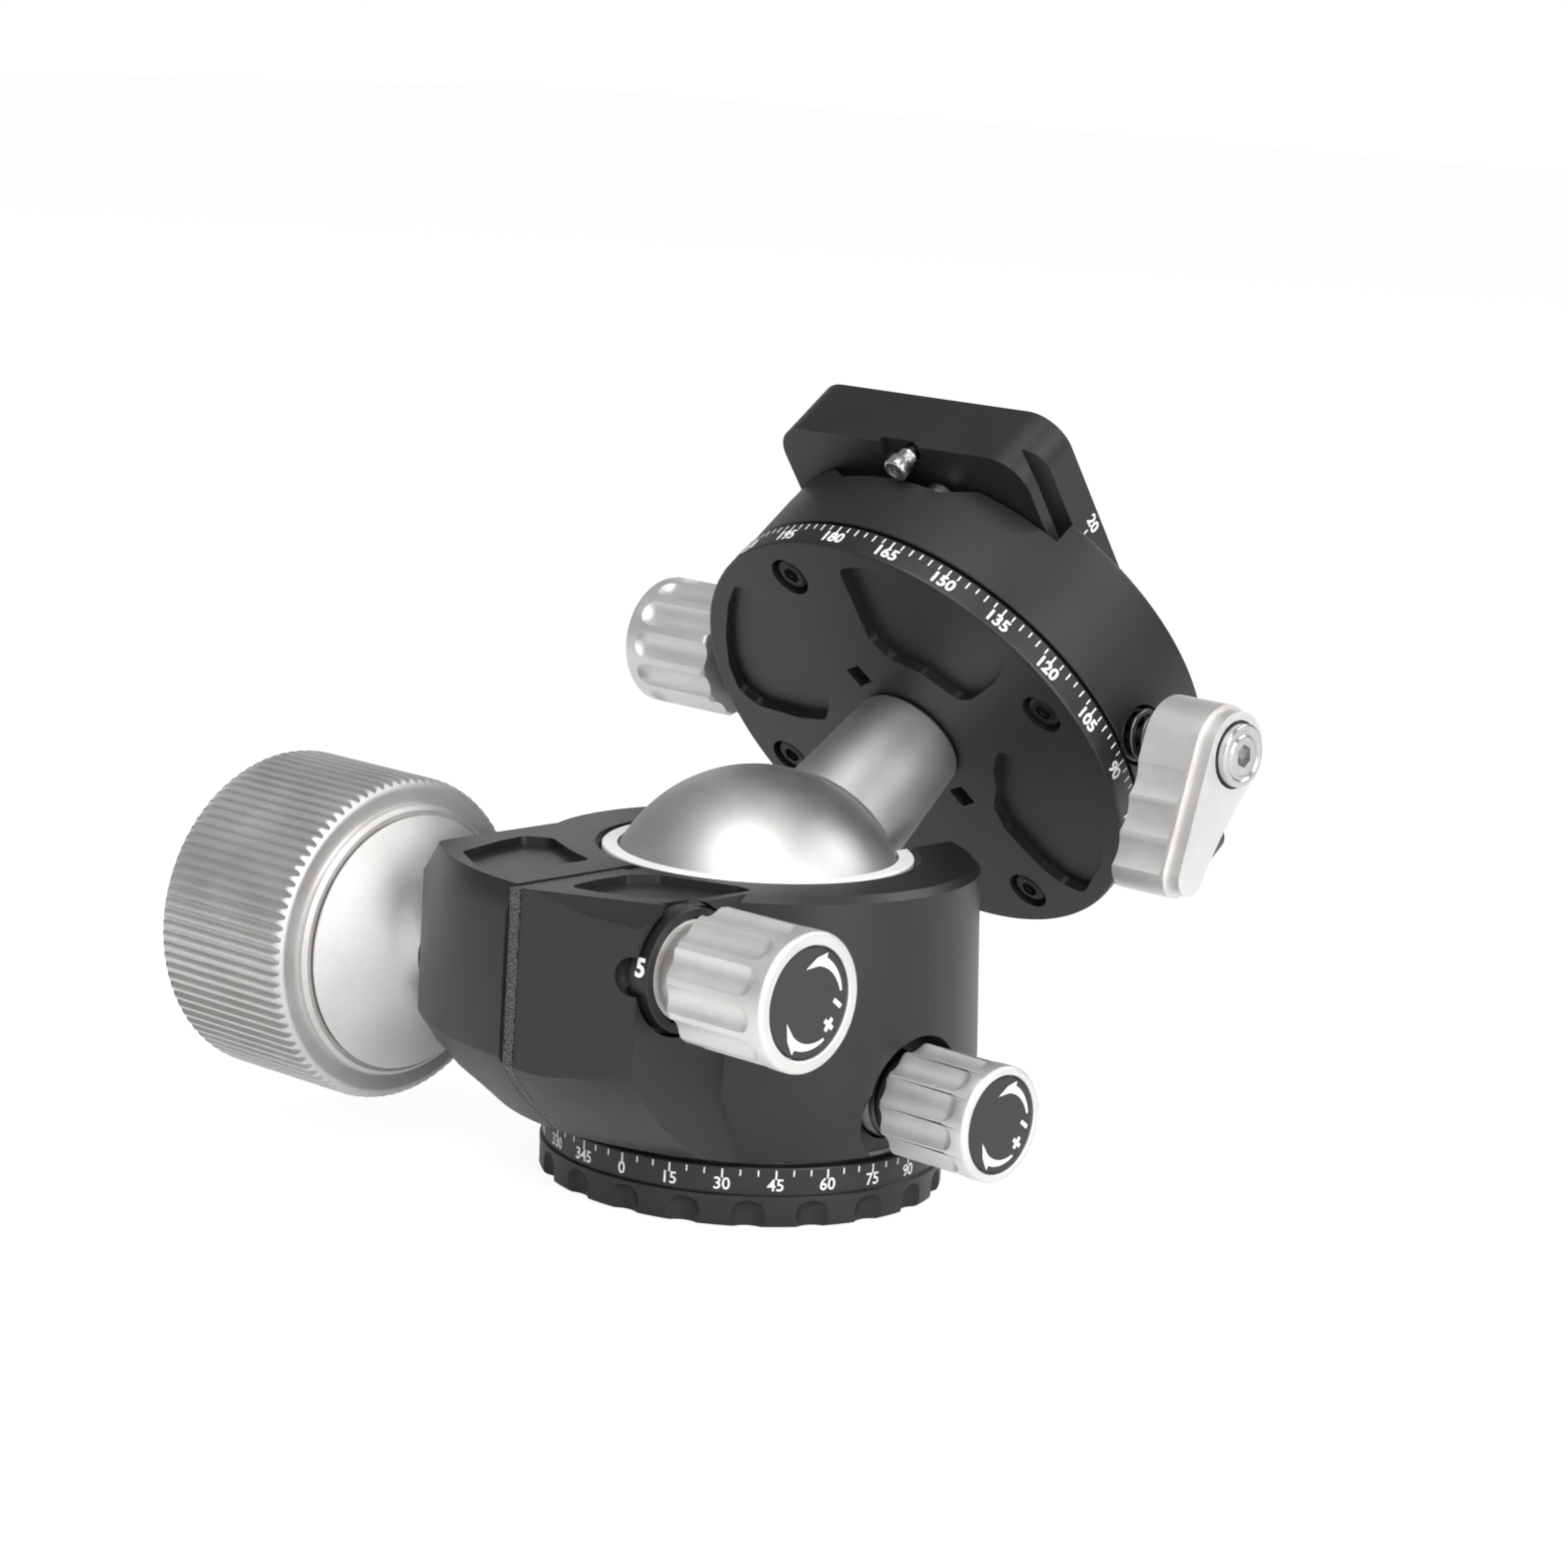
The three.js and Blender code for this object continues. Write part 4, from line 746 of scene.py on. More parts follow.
@dataclass(frozen=True)
class Anodised(Finish):
    """Black anodised alloy: fine matt grain, faint cloudiness, slightly paler worn patches."""

    name: str = "black_anodised"
    slot: str = "black_alloy"
    level: float = 0.011
    shares: Point = (0.86, 1.18)
    roughness: float = 0.42
    gloss: float = 0.45
    grain_mm: float = 0.16
    cloud_mm: float = 9
    depth_mm: float = 0.012

    def lay_out(self, shader: SurfaceShader) -> None:
        """Set the colour, roughness and grain.

        Args:
            shader: the material's nodes.
        """
        grain, cloud = shader.noise(self.grain_mm, 3), shader.noise(self.cloud_mm, 3)
        shader.set(Base_Color=shader.ramp(cloud, self.greys()), Metallic=0.0,
                   Roughness=self.worn(self.roughness, cloud), Specular_IOR_Level=self.gloss)
        shader.bump(grain, self.depth_mm, 0.5)


@dataclass(frozen=True)
class Blasted(Finish):
    """Bead-blasted silver alloy with a fine sparkling grain."""

    name: str = "blasted_silver"
    slot: str = "silver_alloy"
    level: float = 0.72
    shares: Point = (0.92, 1.06)
    roughness: float = 0.55
    wear: float = 0.12
    grain_mm: float = 0.2
    cloud_mm: float = 6
    depth_mm: float = 0.02

    def lay_out(self, shader: SurfaceShader) -> None:
        """Set the colour, roughness and grain.

        Args:
            shader: the material's nodes.
        """
        grain, cloud = shader.noise(self.grain_mm, 4, 0.6), shader.noise(self.cloud_mm, 3)
        tone = shader.ramp(grain * 0.5 + cloud * 0.5, self.greys((0.35, 0.65), (0.02, 0.012)))
        shader.set(Base_Color=tone, Metallic=1.0, Roughness=self.worn(self.roughness, cloud))
        shader.bump(grain, self.depth_mm, 0.6)


@dataclass(frozen=True)
class TurnedSteel(Finish):
    """Bright steel with fine turning marks."""

    name: str = "turned_steel"
    slot: str = "steel"
    level: float = 0.52
    shares: Point = (0.9, 1.05)
    roughness: float = 0.26
    marks_mm: float = 0.08
    cloud_mm: float = 2.5
    depth_mm: float = 0.006

    def lay_out(self, shader: SurfaceShader) -> None:
        """Set the colour, roughness and grain.

        Args:
            shader: the material's nodes.
        """
        marks, cloud = shader.noise(self.marks_mm), shader.noise(self.cloud_mm)
        shader.set(Base_Color=shader.ramp(cloud, self.greys()), Metallic=1.0,
                   Roughness=self.worn(self.roughness, marks))
        shader.bump(marks, self.depth_mm, 0.4)


@dataclass(frozen=True)
class Brass(Finish):
    """Turned brass, slightly dulled."""

    name: str = "turned_brass"
    slot: str = "brass"
    dull: Corner = (0.5, 0.33, 0.11)
    bright: Corner = (0.66, 0.46, 0.18)
    cloud_mm: float = 1.5

    def lay_out(self, shader: SurfaceShader) -> None:
        """Set the colour, roughness and grain.

        Args:
            shader: the material's nodes.
        """
        cloud = shader.noise(self.cloud_mm, 3)
        shader.set(Base_Color=shader.ramp(cloud, [(0.3, self.dull), (0.7, self.bright)]), Metallic=1.0,
                   Roughness=0.25 + 0.15 * cloud)


@dataclass(frozen=True)
class Polymer(Finish):
    """Moulded white polymer with a faint flow pattern."""

    name: str = "white_polymer"
    slot: str = "white_polymer"
    level: float = 0.78
    shares: Point = (0.95, 1.03)
    flow_mm: float = 4
    grain_mm: float = 0.3
    depth_mm: float = 0.01

    def lay_out(self, shader: SurfaceShader) -> None:
        """Set the colour, roughness and grain.

        Args:
            shader: the material's nodes.
        """
        flow, grain = shader.noise(self.flow_mm), shader.noise(self.grain_mm)
        shader.set(Base_Color=shader.ramp(flow, self.greys(warmth=(0.01, 0.0))), Roughness=0.42 + 0.1 * grain)
        shader.bump(grain, self.depth_mm, 0.3)


@dataclass(frozen=True)
class MarkPaint(Finish):
    """White paint in the engraved marks, a little uneven."""

    name: str = "mark_paint"
    slot: str = "white_polymer"
    level: float = 1.0
    shares: Point = (0.72, 0.86)
    patch_mm: float = 0.5

    def lay_out(self, shader: SurfaceShader) -> None:
        """Set the colour, roughness and grain.

        Args:
            shader: the material's nodes.
        """
        patch = shader.noise(self.patch_mm, 3)
        shader.set(Base_Color=shader.ramp(patch, self.greys((0.3, 0.6), (0.0, 0.0))),
                   Roughness=0.5 + 0.15 * patch)


@dataclass(frozen=True)
class Speckled(Finish):
    """Dark seal full of pale specks."""

    name: str = "speckled_seal"
    slot: str = "dark_seal"
    speck_mm: float = 0.22
    depth_mm: float = 0.08
    levels: Corner = (0.012, 0.05, 0.16)
    stops: Corner = (0.42, 0.52, 0.62)

    def lay_out(self, shader: SurfaceShader) -> None:
        """Set the colour, roughness and grain.

        Args:
            shader: the material's nodes.
        """
        specks = shader.noise(self.speck_mm, 2, 0.7)
        tones = [(stop, grey(level)) for stop, level in zip(self.stops, self.levels)]
        shader.set(Base_Color=shader.ramp(specks, tones), Roughness=0.75 - 0.2 * specks)
        shader.bump(specks, self.depth_mm, 0.8)


@dataclass(frozen=True)
class Rubber(Finish):
    """Black rubber with a fine leathery grain."""

    name: str = "black_rubber"
    slot: str = "black_rubber"
    level: float = 1.0
    shares: Point = (0.014, 0.024)
    grain_mm: float = 0.5
    dust_mm: float = 5
    depth_mm: float = 0.06

    def lay_out(self, shader: SurfaceShader) -> None:
        """Set the colour, roughness and grain.

        Args:
            shader: the material's nodes.
        """
        grain, dust = shader.noise(self.grain_mm, 4, 0.6), shader.noise(self.dust_mm, 3)
        shader.set(Base_Color=shader.ramp(dust, self.greys()), Roughness=0.7 + 0.2 * grain)
        shader.bump(grain, self.depth_mm, 0.6)


BLACK = Anodised()
CAP_BLACK = Anodised("cap_black", level=0.022, roughness=0.55)
SILVER = Blasted()
# Darker copy of the blasted silver for the main knob's grip: partly a greyer grip, partly painted shade for
# its flutes and for sides turned away from the lamps.
SHADED_GRIP_SILVER = Blasted("grip_silver", level=0.58)
BALL_SILVER = Blasted("ball_silver", level=0.56, roughness=0.48, depth_mm=0.012)
STEEL = TurnedSteel()
DARK_STEEL = TurnedSteel("dark_steel", level=0.035, roughness=0.42)
BUSHING_STEEL = TurnedSteel("bushing_steel", "silver_alloy", level=0.16, roughness=0.3)
SPRING = TurnedSteel("spring_wire", "spring_steel", level=0.12, roughness=0.36)
BRASS, WHITE, PAINT, SEAL, RUBBER = Brass(), Polymer(), MarkPaint(), Speckled(), Rubber()


# Marks


class Marks:
    """Painted ticks, numbers and arrows, each a thin solid laid on its face."""

    THICK = 0.03
    RAISE = 0.012
    DIGIT_SHARE = 0.7

    @classmethod
    def number(cls, text: str, height: float, place: Matrix, bold: float = 0.04) -> Shape:
        """Numerals of a height, centred in a frame whose X runs with the text and Z out of the face.

        Args:
            text: the numerals.
            height: height of the digits.
            place: the frame they lie in.
            bold: how much their strokes are widened.

        Returns:
            The new mesh object.
        """
        Bench.clear()
        bpy.ops.object.text_add()
        letters = bpy.context.object.data
        letters.body, letters.size = text, height / cls.DIGIT_SHARE
        letters.align_x, letters.align_y = "CENTER", "CENTER"
        letters.extrude, letters.offset, letters.resolution_u = cls.THICK / 2, bold * height, 3
        bpy.ops.object.convert(target="MESH")
        piece = bpy.context.object
        bpy.ops.object.mode_set(mode="EDIT")
        Bench.close()
        return Bench.moved(piece, place)

    @staticmethod
    def on_rim(radius: float, height: float, degrees: float) -> Matrix:
        """Frame on a cylinder about Z, with X to the reader's right and Y up."""
        out = Vector((*polar(1, degrees), 0))
        return frame_along(out, UP, out * radius + UP * height)

    @classmethod
    def tick(cls, length: float, width: float) -> Shape:
        """A tick that hangs down from the origin in the XY plane, with rounded ends.

        Args:
            length: the tick's length.
            width: its width.

        Returns:
            The new object.
        """
        half = width / 2
        outline = [(-half, 0), (half, 0), (half, -length + half * 0.6), (half * 0.5, -length),
                   (-half * 0.5, -length), (-half, -length + half * 0.6)]
        return Bench.raised(outline, -cls.THICK / 2, cls.THICK / 2)

    @classmethod
    def arrow(cls, radius: float, tail: float, sweep: int, height: float) -> Shape:
        """A curved arrow that widens from its tail to its barbed head.

        Args:
            radius: the cap's radius.
            tail: the tail's angle in degrees.
            sweep: 1 for an arrow that runs anticlockwise, -1 for clockwise.
            height: height of the face that it lies on.

        Returns:
            The new object.
        """
        neck, step = 66, 6
        outer = [polar(0.86 * radius, tail + sweep * turn) for turn in range(0, 55, step)]
        head = [polar(0.95 * radius, tail + sweep * 55), polar(0.8 * radius, tail + sweep * 71),
                polar(0.62 * radius, tail + sweep * 93)]
        inner = [polar((0.81 - 0.15 * turn / neck) * radius, tail + sweep * turn)
                 for turn in range(neck, -1, -step)]
        outline = outer + head + inner
        return Bench.raised(outline if sweep > 0 else outline[::-1], height - cls.THICK / 2,
                            height + cls.THICK / 2)

    @classmethod
    def bar(cls, length: float, width: float, at: Point, degrees: float, height: float) -> Shape:
        """A straight painted bar.

        Args:
            length: the bar's length.
            width: its width.
            at: its middle in plan.
            degrees: how far it is turned from X.
            height: height of the face that it lies on.

        Returns:
            The new object.
        """
        piece = Bench.block((-length / 2, -width / 2, -cls.THICK / 2), (length / 2, width / 2, cls.THICK / 2))
        return Bench.moved(piece, shift_by(*at, height) @ turn_about("Z", degrees))

    @classmethod
    def cap_arrows(cls, radius: float, face: float) -> Shape:
        """The two arrows with a minus and a plus between their tails.

        Args:
            radius: the cap's radius.
            face: height of the cap's face.

        Returns:
            The marks as one object.
        """
        middle, height = -25, face + cls.RAISE
        minus, plus = polar(0.76 * radius, middle + 17), polar(0.72 * radius, middle - 15)
        span, wide = 0.27 * radius, 0.085 * radius
        cross = Bench.combined(cls.bar(span, wide, plus, middle - 14, height),
                               cls.bar(span, wide, plus, middle + 76, height), how=Join.FUSE)
        return Bench.joined(
            cls.arrow(radius, middle + 33, 1, height), cls.arrow(radius, middle - 33, -1, height),
            cls.bar(0.24 * radius, wide, minus, middle - 12, height), cross)


# Sub-assemblies


class Part:
    """A sub-assembly whose pieces are drawn in one frame, and mostly ride on one body."""

    place: Matrix
    body: str

    def put(self, shape: Shape, finish: Finish, name: str, solid: bool = True, body: str = "",
            smooth: float = 35) -> None:
        """Set a finished shape down as one of the part's pieces.

        Args:
            shape: the object, in millimetres.
            finish: its finish.
            name: the solid that it stands for, or its own name where it stands for none.
            solid: whether it stands for a solid.
            body: the body that it rides on, where that isn't the part's own.
            smooth: edges that turn by less than this many degrees are shaded smooth.
        """
        title, nodes = name, []
        if solid:
            stem, _, number = name.rpartition("_")
            title, nodes = f"{stem}_fine_{number}" if number.isdigit() else f"{name}_fine", [name]
        Bench.set_down(shape, title, self.place, finish, body or self.body, nodes, smooth)


@dataclass
class SmallKnob(Part):
    """Fluted lock knob with a black cap, drawn along Z from its foot to its face."""

    name: str
    place: Matrix
    body: str
    radius: float
    start: float
    length: float
    cap_radius: float
    bore: float
    flutes: int = 12
    flute_radius: float = 2.5
    flute_depth: float = 0.8
    flute_stop: float = 1.4
    first_flute: float = 9
    edge: float = 0.55
    lip_edge: float = 0.15
    cap_thick: float = 0.8
    cap_sink: float = 0.2
    cap_edge: float = 0.22
    cap_round: float = 0.07

    @property
    def end(self) -> float:
        """Distance of the knob's face along its axis."""
        return self.start + self.length

    def grip(self) -> Shape:
        """Grip with round-ended flutes and a seat for the cap.

        Returns:
            The new object.
        """
        seat = self.end - self.cap_thick - self.cap_sink - GAP
        low, high, edge, radius = self.start, self.end, self.edge, self.radius
        foot = arc(edge, -90, 0, 4, (radius - edge, low + edge))
        rim = arc(edge, 0, 90, 4, (radius - edge, high - edge))
        lip = self.cap_radius + 0.55 * GAP
        body = Bench.turned([
            (self.bore, low), *foot, *rim, (lip + self.lip_edge, high), (lip, high - self.lip_edge),
            (lip, seat), (self.bore, seat)], 144)
        flute = Bench.bar(self.flute_radius, low - OVERRUN, high - self.flute_stop,
                          (radius + self.flute_radius - self.flute_depth, 0), 32, self.flute_radius * 0.8)
        Bench.combined(body, Bench.around(flute, self.flutes, self.first_flute))
        return Bench.eased(body, 0.16, 2, 24)

    def cap(self) -> Shape:
        """Cap with a softened edge.

        Returns:
            The new object.
        """
        top, radius, edge = self.end - self.cap_sink, self.cap_radius, self.cap_edge
        foot = top - self.cap_thick
        return Bench.turned([
            (0, foot), (radius, foot), (radius, top - edge), (radius - self.cap_round, top - self.cap_round),
            (radius - edge, top), (0.6 * radius, top), (0, top)])

    def build(self) -> None:
        """Model and dress the knob, its cap and the painted arrows."""
        self.put(self.grip(), SILVER, f"{self.name}_grip")
        self.put(self.cap(), CAP_BLACK, f"{self.name}_cap")
        marks = Marks.cap_arrows(self.cap_radius, self.end - self.cap_sink)
        self.put(marks, PAINT, f"{self.name}_cap_arrows", solid=False)


@dataclass
class Base(Part):
    """Base ring with its scale, the tripod insert and the screws under it."""

    place = BODY_FRAME
    body = "base"
    radius: float = 23.6
    height: float = 7.0
    floor: float = 4.5
    band: float = 3.7
    taper: float = 0.3
    insert: float = 6.5
    insert_flange: float = 8.2
    insert_step: float = 8.8
    insert_top: float = 10.0
    thread: float = 4.76
    thread_depth: float = 0.35
    thread_turns: int = 6
    hub: float = 15.3
    washer: Point = (18.2, 21.8)
    washer_thick: float = 1.2
    scallops: int = 20
    scallop_radius: float = 2.4
    scallop_depth: float = 1.1
    screws: int = 3
    screw_circle: float = 11.2
    screw_head: float = 2.4
    screw_shank: float = 1.25
    screw_foot: float = 0.6
    screw_seat: float = 2.8
    screw_top: float = 8.2
    zero: float = -82.7
    numbers_every: int = 15
    number_height: float = 1.38

    def ring(self) -> Shape:
        """Ring with its scalloped grip band.

        Returns:
            The new object.
        """
        outer, rim, seat = self.radius, self.radius - self.taper, self.height - self.washer_thick
        inner, wide = self.washer
        ring = Bench.turned([
            (self.insert + GAP, 0.3), (self.insert + GAP + 0.3, 0), (outer - 0.5, 0), (outer - 0.15, 0.15),
            (outer, 0.5), (outer, self.band - 0.12), (outer - 0.12, self.band),
            (rim - 0.05, self.band + 0.12), (rim - 0.05, self.band + 0.3), (rim, self.band + 0.45),
            (rim, self.height - 0.3),
            (rim - 0.1, self.height - 0.1), (rim - 0.3, self.height), (wide, self.height), (wide, seat),
            (inner, seat), (inner, self.height), (self.hub, self.height), (self.hub, self.floor),
            (self.insert + GAP, self.floor)], 160)
        cutter = Bench.bar(self.scallop_radius, -OVERRUN, self.band - 0.55,
                           (outer + self.scallop_radius - self.scallop_depth, 0), 32, 1.5)
        at = (self.screw_circle, 0)
        counterbore = Bench.bar(self.screw_head + GAP, -OVERRUN, self.screw_seat + GAP, at, 40)
        hole = Bench.bar(self.screw_shank + GAP, 0, self.floor + OVERRUN, at, 24)
        Bench.combined(ring, Bench.around(cutter, self.scallops, 180 / self.scallops),
                       Bench.around(counterbore, self.screws), Bench.around(hole, self.screws))
        return Bench.eased(ring, 0.12, 2, 26)

    def scale(self) -> Shape:
        """Ticks every 5 degrees and numbers every 15.

        Returns:
            The marks as one object.
        """
        rim, marks = self.radius - self.taper + 0.008, []
        long = self.numbers_every
        for wide, length, step in ((0.17, 0.72, 5), (0.21, 1.08, long)):
            turns = [turn for turn in range(0, 360, step) if step == long or turn % long]
            marks.append(Bench.copied(Marks.tick(length, wide), [
                Marks.on_rim(rim, self.height - 0.36, self.zero + turn) for turn in turns]))
        for turn in range(0, 360, long):
            place = Marks.on_rim(rim + Marks.RAISE, 4.86, self.zero + turn)
            marks.append(Marks.number(str(turn), self.number_height, place, 0.02))
        return Bench.joined(*marks)

    def insert_ring(self) -> Shape:
        """Steel insert with a threaded bore.

        Returns:
            The new object.
        """
        top, root = self.insert_top, self.thread + self.thread_depth
        pitch = (top - 0.9) / self.thread_turns
        thread = [point for i in range(self.thread_turns) for point in
                  ((root, top - 0.3 - pitch * i), (self.thread, top - 0.3 - pitch * (i + 0.5)))]
        return Bench.turned([
            (root, 0.3), (self.insert - 0.2, 0.3), (self.insert, 0.5), (self.insert, self.insert_step),
            (self.insert_flange, self.insert_step), (self.insert_flange, top), *thread], 72)

    def screw(self, degrees: float) -> Shape:
        """Flat socket screw seen from below.

        Args:
            degrees: where on the circle of screws it sits.

        Returns:
            The new object.
        """
        foot, head, shank = self.screw_foot, self.screw_head, self.screw_shank
        screw = Bench.turned([
            (0, foot), (head - 0.15, foot), (head, foot + 0.15), (head, self.screw_seat),
            (shank, self.screw_seat), (shank, self.screw_top), (0, self.screw_top)], 40)
        Bench.socketed(screw, 1.35, foot - OVERRUN, foot + 1.3)
        return Bench.moved(Bench.eased(screw, 0.06, 1), shift_by(*polar(self.screw_circle, degrees)))

    def build(self) -> None:
        """Model and dress the base."""
        self.put(self.ring(), BLACK, "base_ring")
        self.put(self.scale(), PAINT, "base_scale", solid=False)
        self.put(self.insert_ring(), STEEL, "thread_insert")
        for i in range(self.screws):
            self.put(self.screw(360 / self.screws * i), STEEL, f"base_screw_{i + 1}")


@dataclass
class Housing(Part):
    """Split housing with its ear, pockets, liner and slit strip."""

    place = BODY_FRAME
    body = "housing"
    top: float = 38.5
    floor: float = 7.6
    top_radius: float = 25.8
    waist_radius: float = 26.9
    foot_radius: float = 24.0
    waist: float = 16.0
    edge: float = 0.8
    ear: float = 39.4
    jaw_reach: float = 38.8
    jaw_face: float = 24.0
    jaw_corner: float = 29.0
    friction_face: float = 16.0
    friction_room: float = 7.6
    bite: float = 2.2
    bite_at: float = -7.7
    slit: float = 1.7
    slit_end: float = 38.2
    bore: float = 20.2
    lip_drop: float = 2.5
    ball_room: float = 18.3
    liner_foot: float = 17.6
    liner_top: float = 18.1
    notch: float = 9.7
    pocket: float = 1.0
    pocket_corner: float = 1.6
    bevel: float = 1.6
    bevel_drop: float = 3.1
    screw_way: float = 3.45
    nut_room: float = 4.7
    friction_screw_way: float = 2.0
    plunger_way: float = 2.6
    pan_lock_room: float = 7.6
    pan_lock_way: float = 5.3
    bowl_shares: tuple[Point, ...] = ((0.608, 0), (0.752, 0.058), (0.818, 0.133), (0.878, 0.197),
                                      (0.934, 0.278), (0.98, 0.362), (1, 0.443))
    facet_place_shares: Point = (0.099, -0.931)
    facet_turn: float = -63.4
    facet_lean: float = 21.7
    jaw_pocket_shares: tuple[Point, ...] = (
        (-0.437, -0.782), (-0.487, -0.584), (-0.5, -0.47), (-0.43, -0.42), (-0.285, -0.495),
        (-0.157, -0.54), (-0.16, -0.67), (-0.162, -0.865), (-0.266, -0.883))
    side_pocket_shares: tuple[Point, ...] = (
        (0.061, -0.85), (0.043, -0.716), (0.046, -0.596), (0.094, -0.523), (0.2, -0.48),
        (0.32, -0.434), (0.383, -0.434), (0.37, -0.657), (0.266, -0.789), (0.152, -0.827))

    def bowl_profile(self) -> list[Point]:
        """Rounded underside of the ear, as (radius, height) points from the axis out."""
        rise, foot = self.top - self.floor, self.floor
        return [(0, foot), *((share * self.ear, foot + up * rise) for share, up in self.bowl_shares)]

    def outline(self) -> list[Point]:
        """The ear in plan.

        Returns:
            Its corners.
        """
        jaw = arc(self.jaw_reach, 237, 267.5, 14)
        start, corner = (-self.jaw_face, -self.jaw_corner), (-self.jaw_face, jaw[0][1] + self.slit)
        bend = curve(start, corner, jaw[0], (step / 8 for step in range(8)))
        face = self.friction_face
        return [(face, 0), (-self.jaw_face, 0), *bend, *jaw, (-self.slit / 2, -self.slit_end),
                (0.6 * face, -self.slit_end + 2 * GAP), (face, -math.sqrt(self.ear ** 2 - face ** 2))]

    def blank(self) -> Shape:
        """Barrel and ear before anything is cut into them, with the top's edge chamfered.

        Returns:
            The new object.
        """
        foot, edge, top = self.foot_radius, self.edge, self.top
        barrel = Bench.turned([
            (0, self.floor), (foot - 0.4, self.floor), (foot, self.floor + 0.4),
            (self.waist_radius, self.waist), (self.top_radius, top - edge), (self.top_radius - edge, top),
            (0, top)], 192)
        bowl = Bench.turned([
            *self.bowl_profile(), (self.ear, top - edge), (self.ear - edge, top), (0, top)], 192)
        ear = Bench.combined(Bench.raised(self.outline(), self.floor, top), bowl, how=Join.SHARE)
        return Bench.combined(barrel, Bench.combined(ear, self.jaw_bevel()), how=Join.FUSE)

    def jaw_bevel(self) -> Shape:
        """Cutter that leaves a steep bevel round the top edge of the jaw's side.

        Returns:
            The cutter.
        """
        foot, high = self.top - self.bevel_drop, self.top + OVERRUN
        taper = 1 - self.bevel * (high - foot) / (self.bevel_drop * self.jaw_reach)
        kept = Bench.raised(self.outline(), foot, high, taper)
        return Bench.combined(Bench.block((-self.ear, -self.ear, foot), (-self.slit, 0, high - 0.01)), kept)

    def facet(self) -> Shape:
        """Wedge that takes the large facet off the friction corner.

        Returns:
            The cutter.
        """
        wedge = Bench.block((-self.ear, -self.ear, 0), (self.ear, self.ear, self.ear))
        across, along = self.facet_place_shares
        place = shift_by(across * self.ear, along * self.ear, self.top)
        return Bench.moved(wedge, place @ turn_about("Z", self.facet_turn) @ turn_about("Y", self.facet_lean))

    def pockets(self) -> list[Shape]:
        """Cutters of the two shallow pockets in the ear's top.

        Returns:
            The cutters.
        """
        return [Bench.raised(rounded([(x * self.ear, y * self.ear) for x, y in shares], self.pocket_corner),
                             self.top - self.pocket, self.top + OVERRUN)
                for shares in (self.jaw_pocket_shares, self.side_pocket_shares)]

    def bore_cutter(self) -> Shape:
        """Bore for the ball and its liner, with a lip at the top.

        Returns:
            The cutter.
        """
        lip, cone = self.liner_top + GAP, self.top - self.lip_drop
        return Bench.turned([
            (0, self.floor - OVERRUN), (self.bore, self.floor - OVERRUN), (self.bore, cone - self.bore + lip),
            (lip, cone), (lip, self.top - 0.5), (lip + 0.5 + OVERRUN, self.top + OVERRUN),
            (0, self.top + OVERRUN)], 144)

    def notch_cutter(self) -> Shape:
        """Slot that the stem drops into.

        Returns:
            The cutter.
        """
        far = self.waist_radius + OVERRUN
        trough = Bench.moved(Bench.bar(self.notch, 0, far, sides=96),
                             shift_by(0, 0, BALL_HEIGHT) @ turn_about("X", -90))
        above = Bench.block((-self.notch, 0, BALL_HEIGHT), (self.notch, far, self.top + OVERRUN))
        return Bench.combined(trough, above, how=Join.FUSE)

    def ways(self) -> list[Shape]:
        """Cutters of the screws' ways, the nut's room and the seats of the friction control and pan lock.

        Returns:
            The cutters.
        """
        face, far = self.friction_face, self.waist_radius + OVERRUN
        bars = [
            (self.screw_way, -9, self.jaw_face + OVERRUN, 48, MAIN_KNOB_FRAME),
            (self.nut_room, -6.6, OVERRUN / 2, 48, MAIN_KNOB_FRAME),
            (self.friction_room, face - 1.9, face + 7.4, 96, FRICTION_FRAME),
            (self.plunger_way, 8.8, face, 48, FRICTION_FRAME),
            (self.friction_screw_way, -0.5, 9.8, 48, FRICTION_FRAME),
            (self.pan_lock_room, 22, far, 96, PAN_LOCK_FRAME),
            (self.pan_lock_way, 15, 24, 48, PAN_LOCK_FRAME)]
        cutters = [Bench.moved(Bench.bar(radius, low, high, sides=sides), place)
                   for radius, low, high, sides, place in bars]
        cutters.insert(3, Bench.moved(self.index_bite(), FRICTION_FRAME))
        return cutters

    def shell(self) -> Shape:
        """The housing with every cut.

        Returns:
            The new object.
        """
        slit = Bench.block((-self.slit, -self.ear - OVERRUN, self.floor - OVERRUN),
                           (0, -self.bore + OVERRUN, self.top + OVERRUN))
        ways = self.ways()
        body = Bench.combined(self.blank(), self.facet(), *self.pockets(), self.bore_cutter(), slit,
                              self.notch_cutter(), *ways)
        return Bench.eased(body, 0.22, 2, 28)

    def index_bite(self) -> Shape:
        """Ball-shaped cutter of the bite that the friction scale is read in.

        Returns:
            The cutter.
        """
        bite = self.bite
        profile = [(0, -bite), *sphere_profile(bite, 0, -0.99 * bite, 0.99 * bite, 16), (0, bite)]
        return Bench.moved(Bench.turned(profile, 40), shift_by(self.bite_at, 0, self.friction_face - 0.5))

    def strip(self) -> Shape:
        """Strip that fills the slit, following the ear's underside.

        Returns:
            The new object.
        """
        inset = 0.12
        block = Bench.block((-self.slit + inset, -self.slit_end - 0.1, self.floor + GAP),
                            (-inset, -self.bore - 2 * GAP, self.top - 0.25))
        under = Bench.turned([*self.bowl_profile(), (self.ear, self.top), (0, self.top)], 160)
        Bench.combined(block, under, how=Join.SHARE)
        main = Bench.bar(self.screw_way, -OVERRUN, self.slit + OVERRUN)
        friction = Bench.bar(self.friction_screw_way, -self.slit - OVERRUN, OVERRUN)
        Bench.combined(block, Bench.moved(main, MAIN_KNOB_FRAME), Bench.moved(friction, FRICTION_FRAME))
        return Bench.eased(block, 0.1, 2)

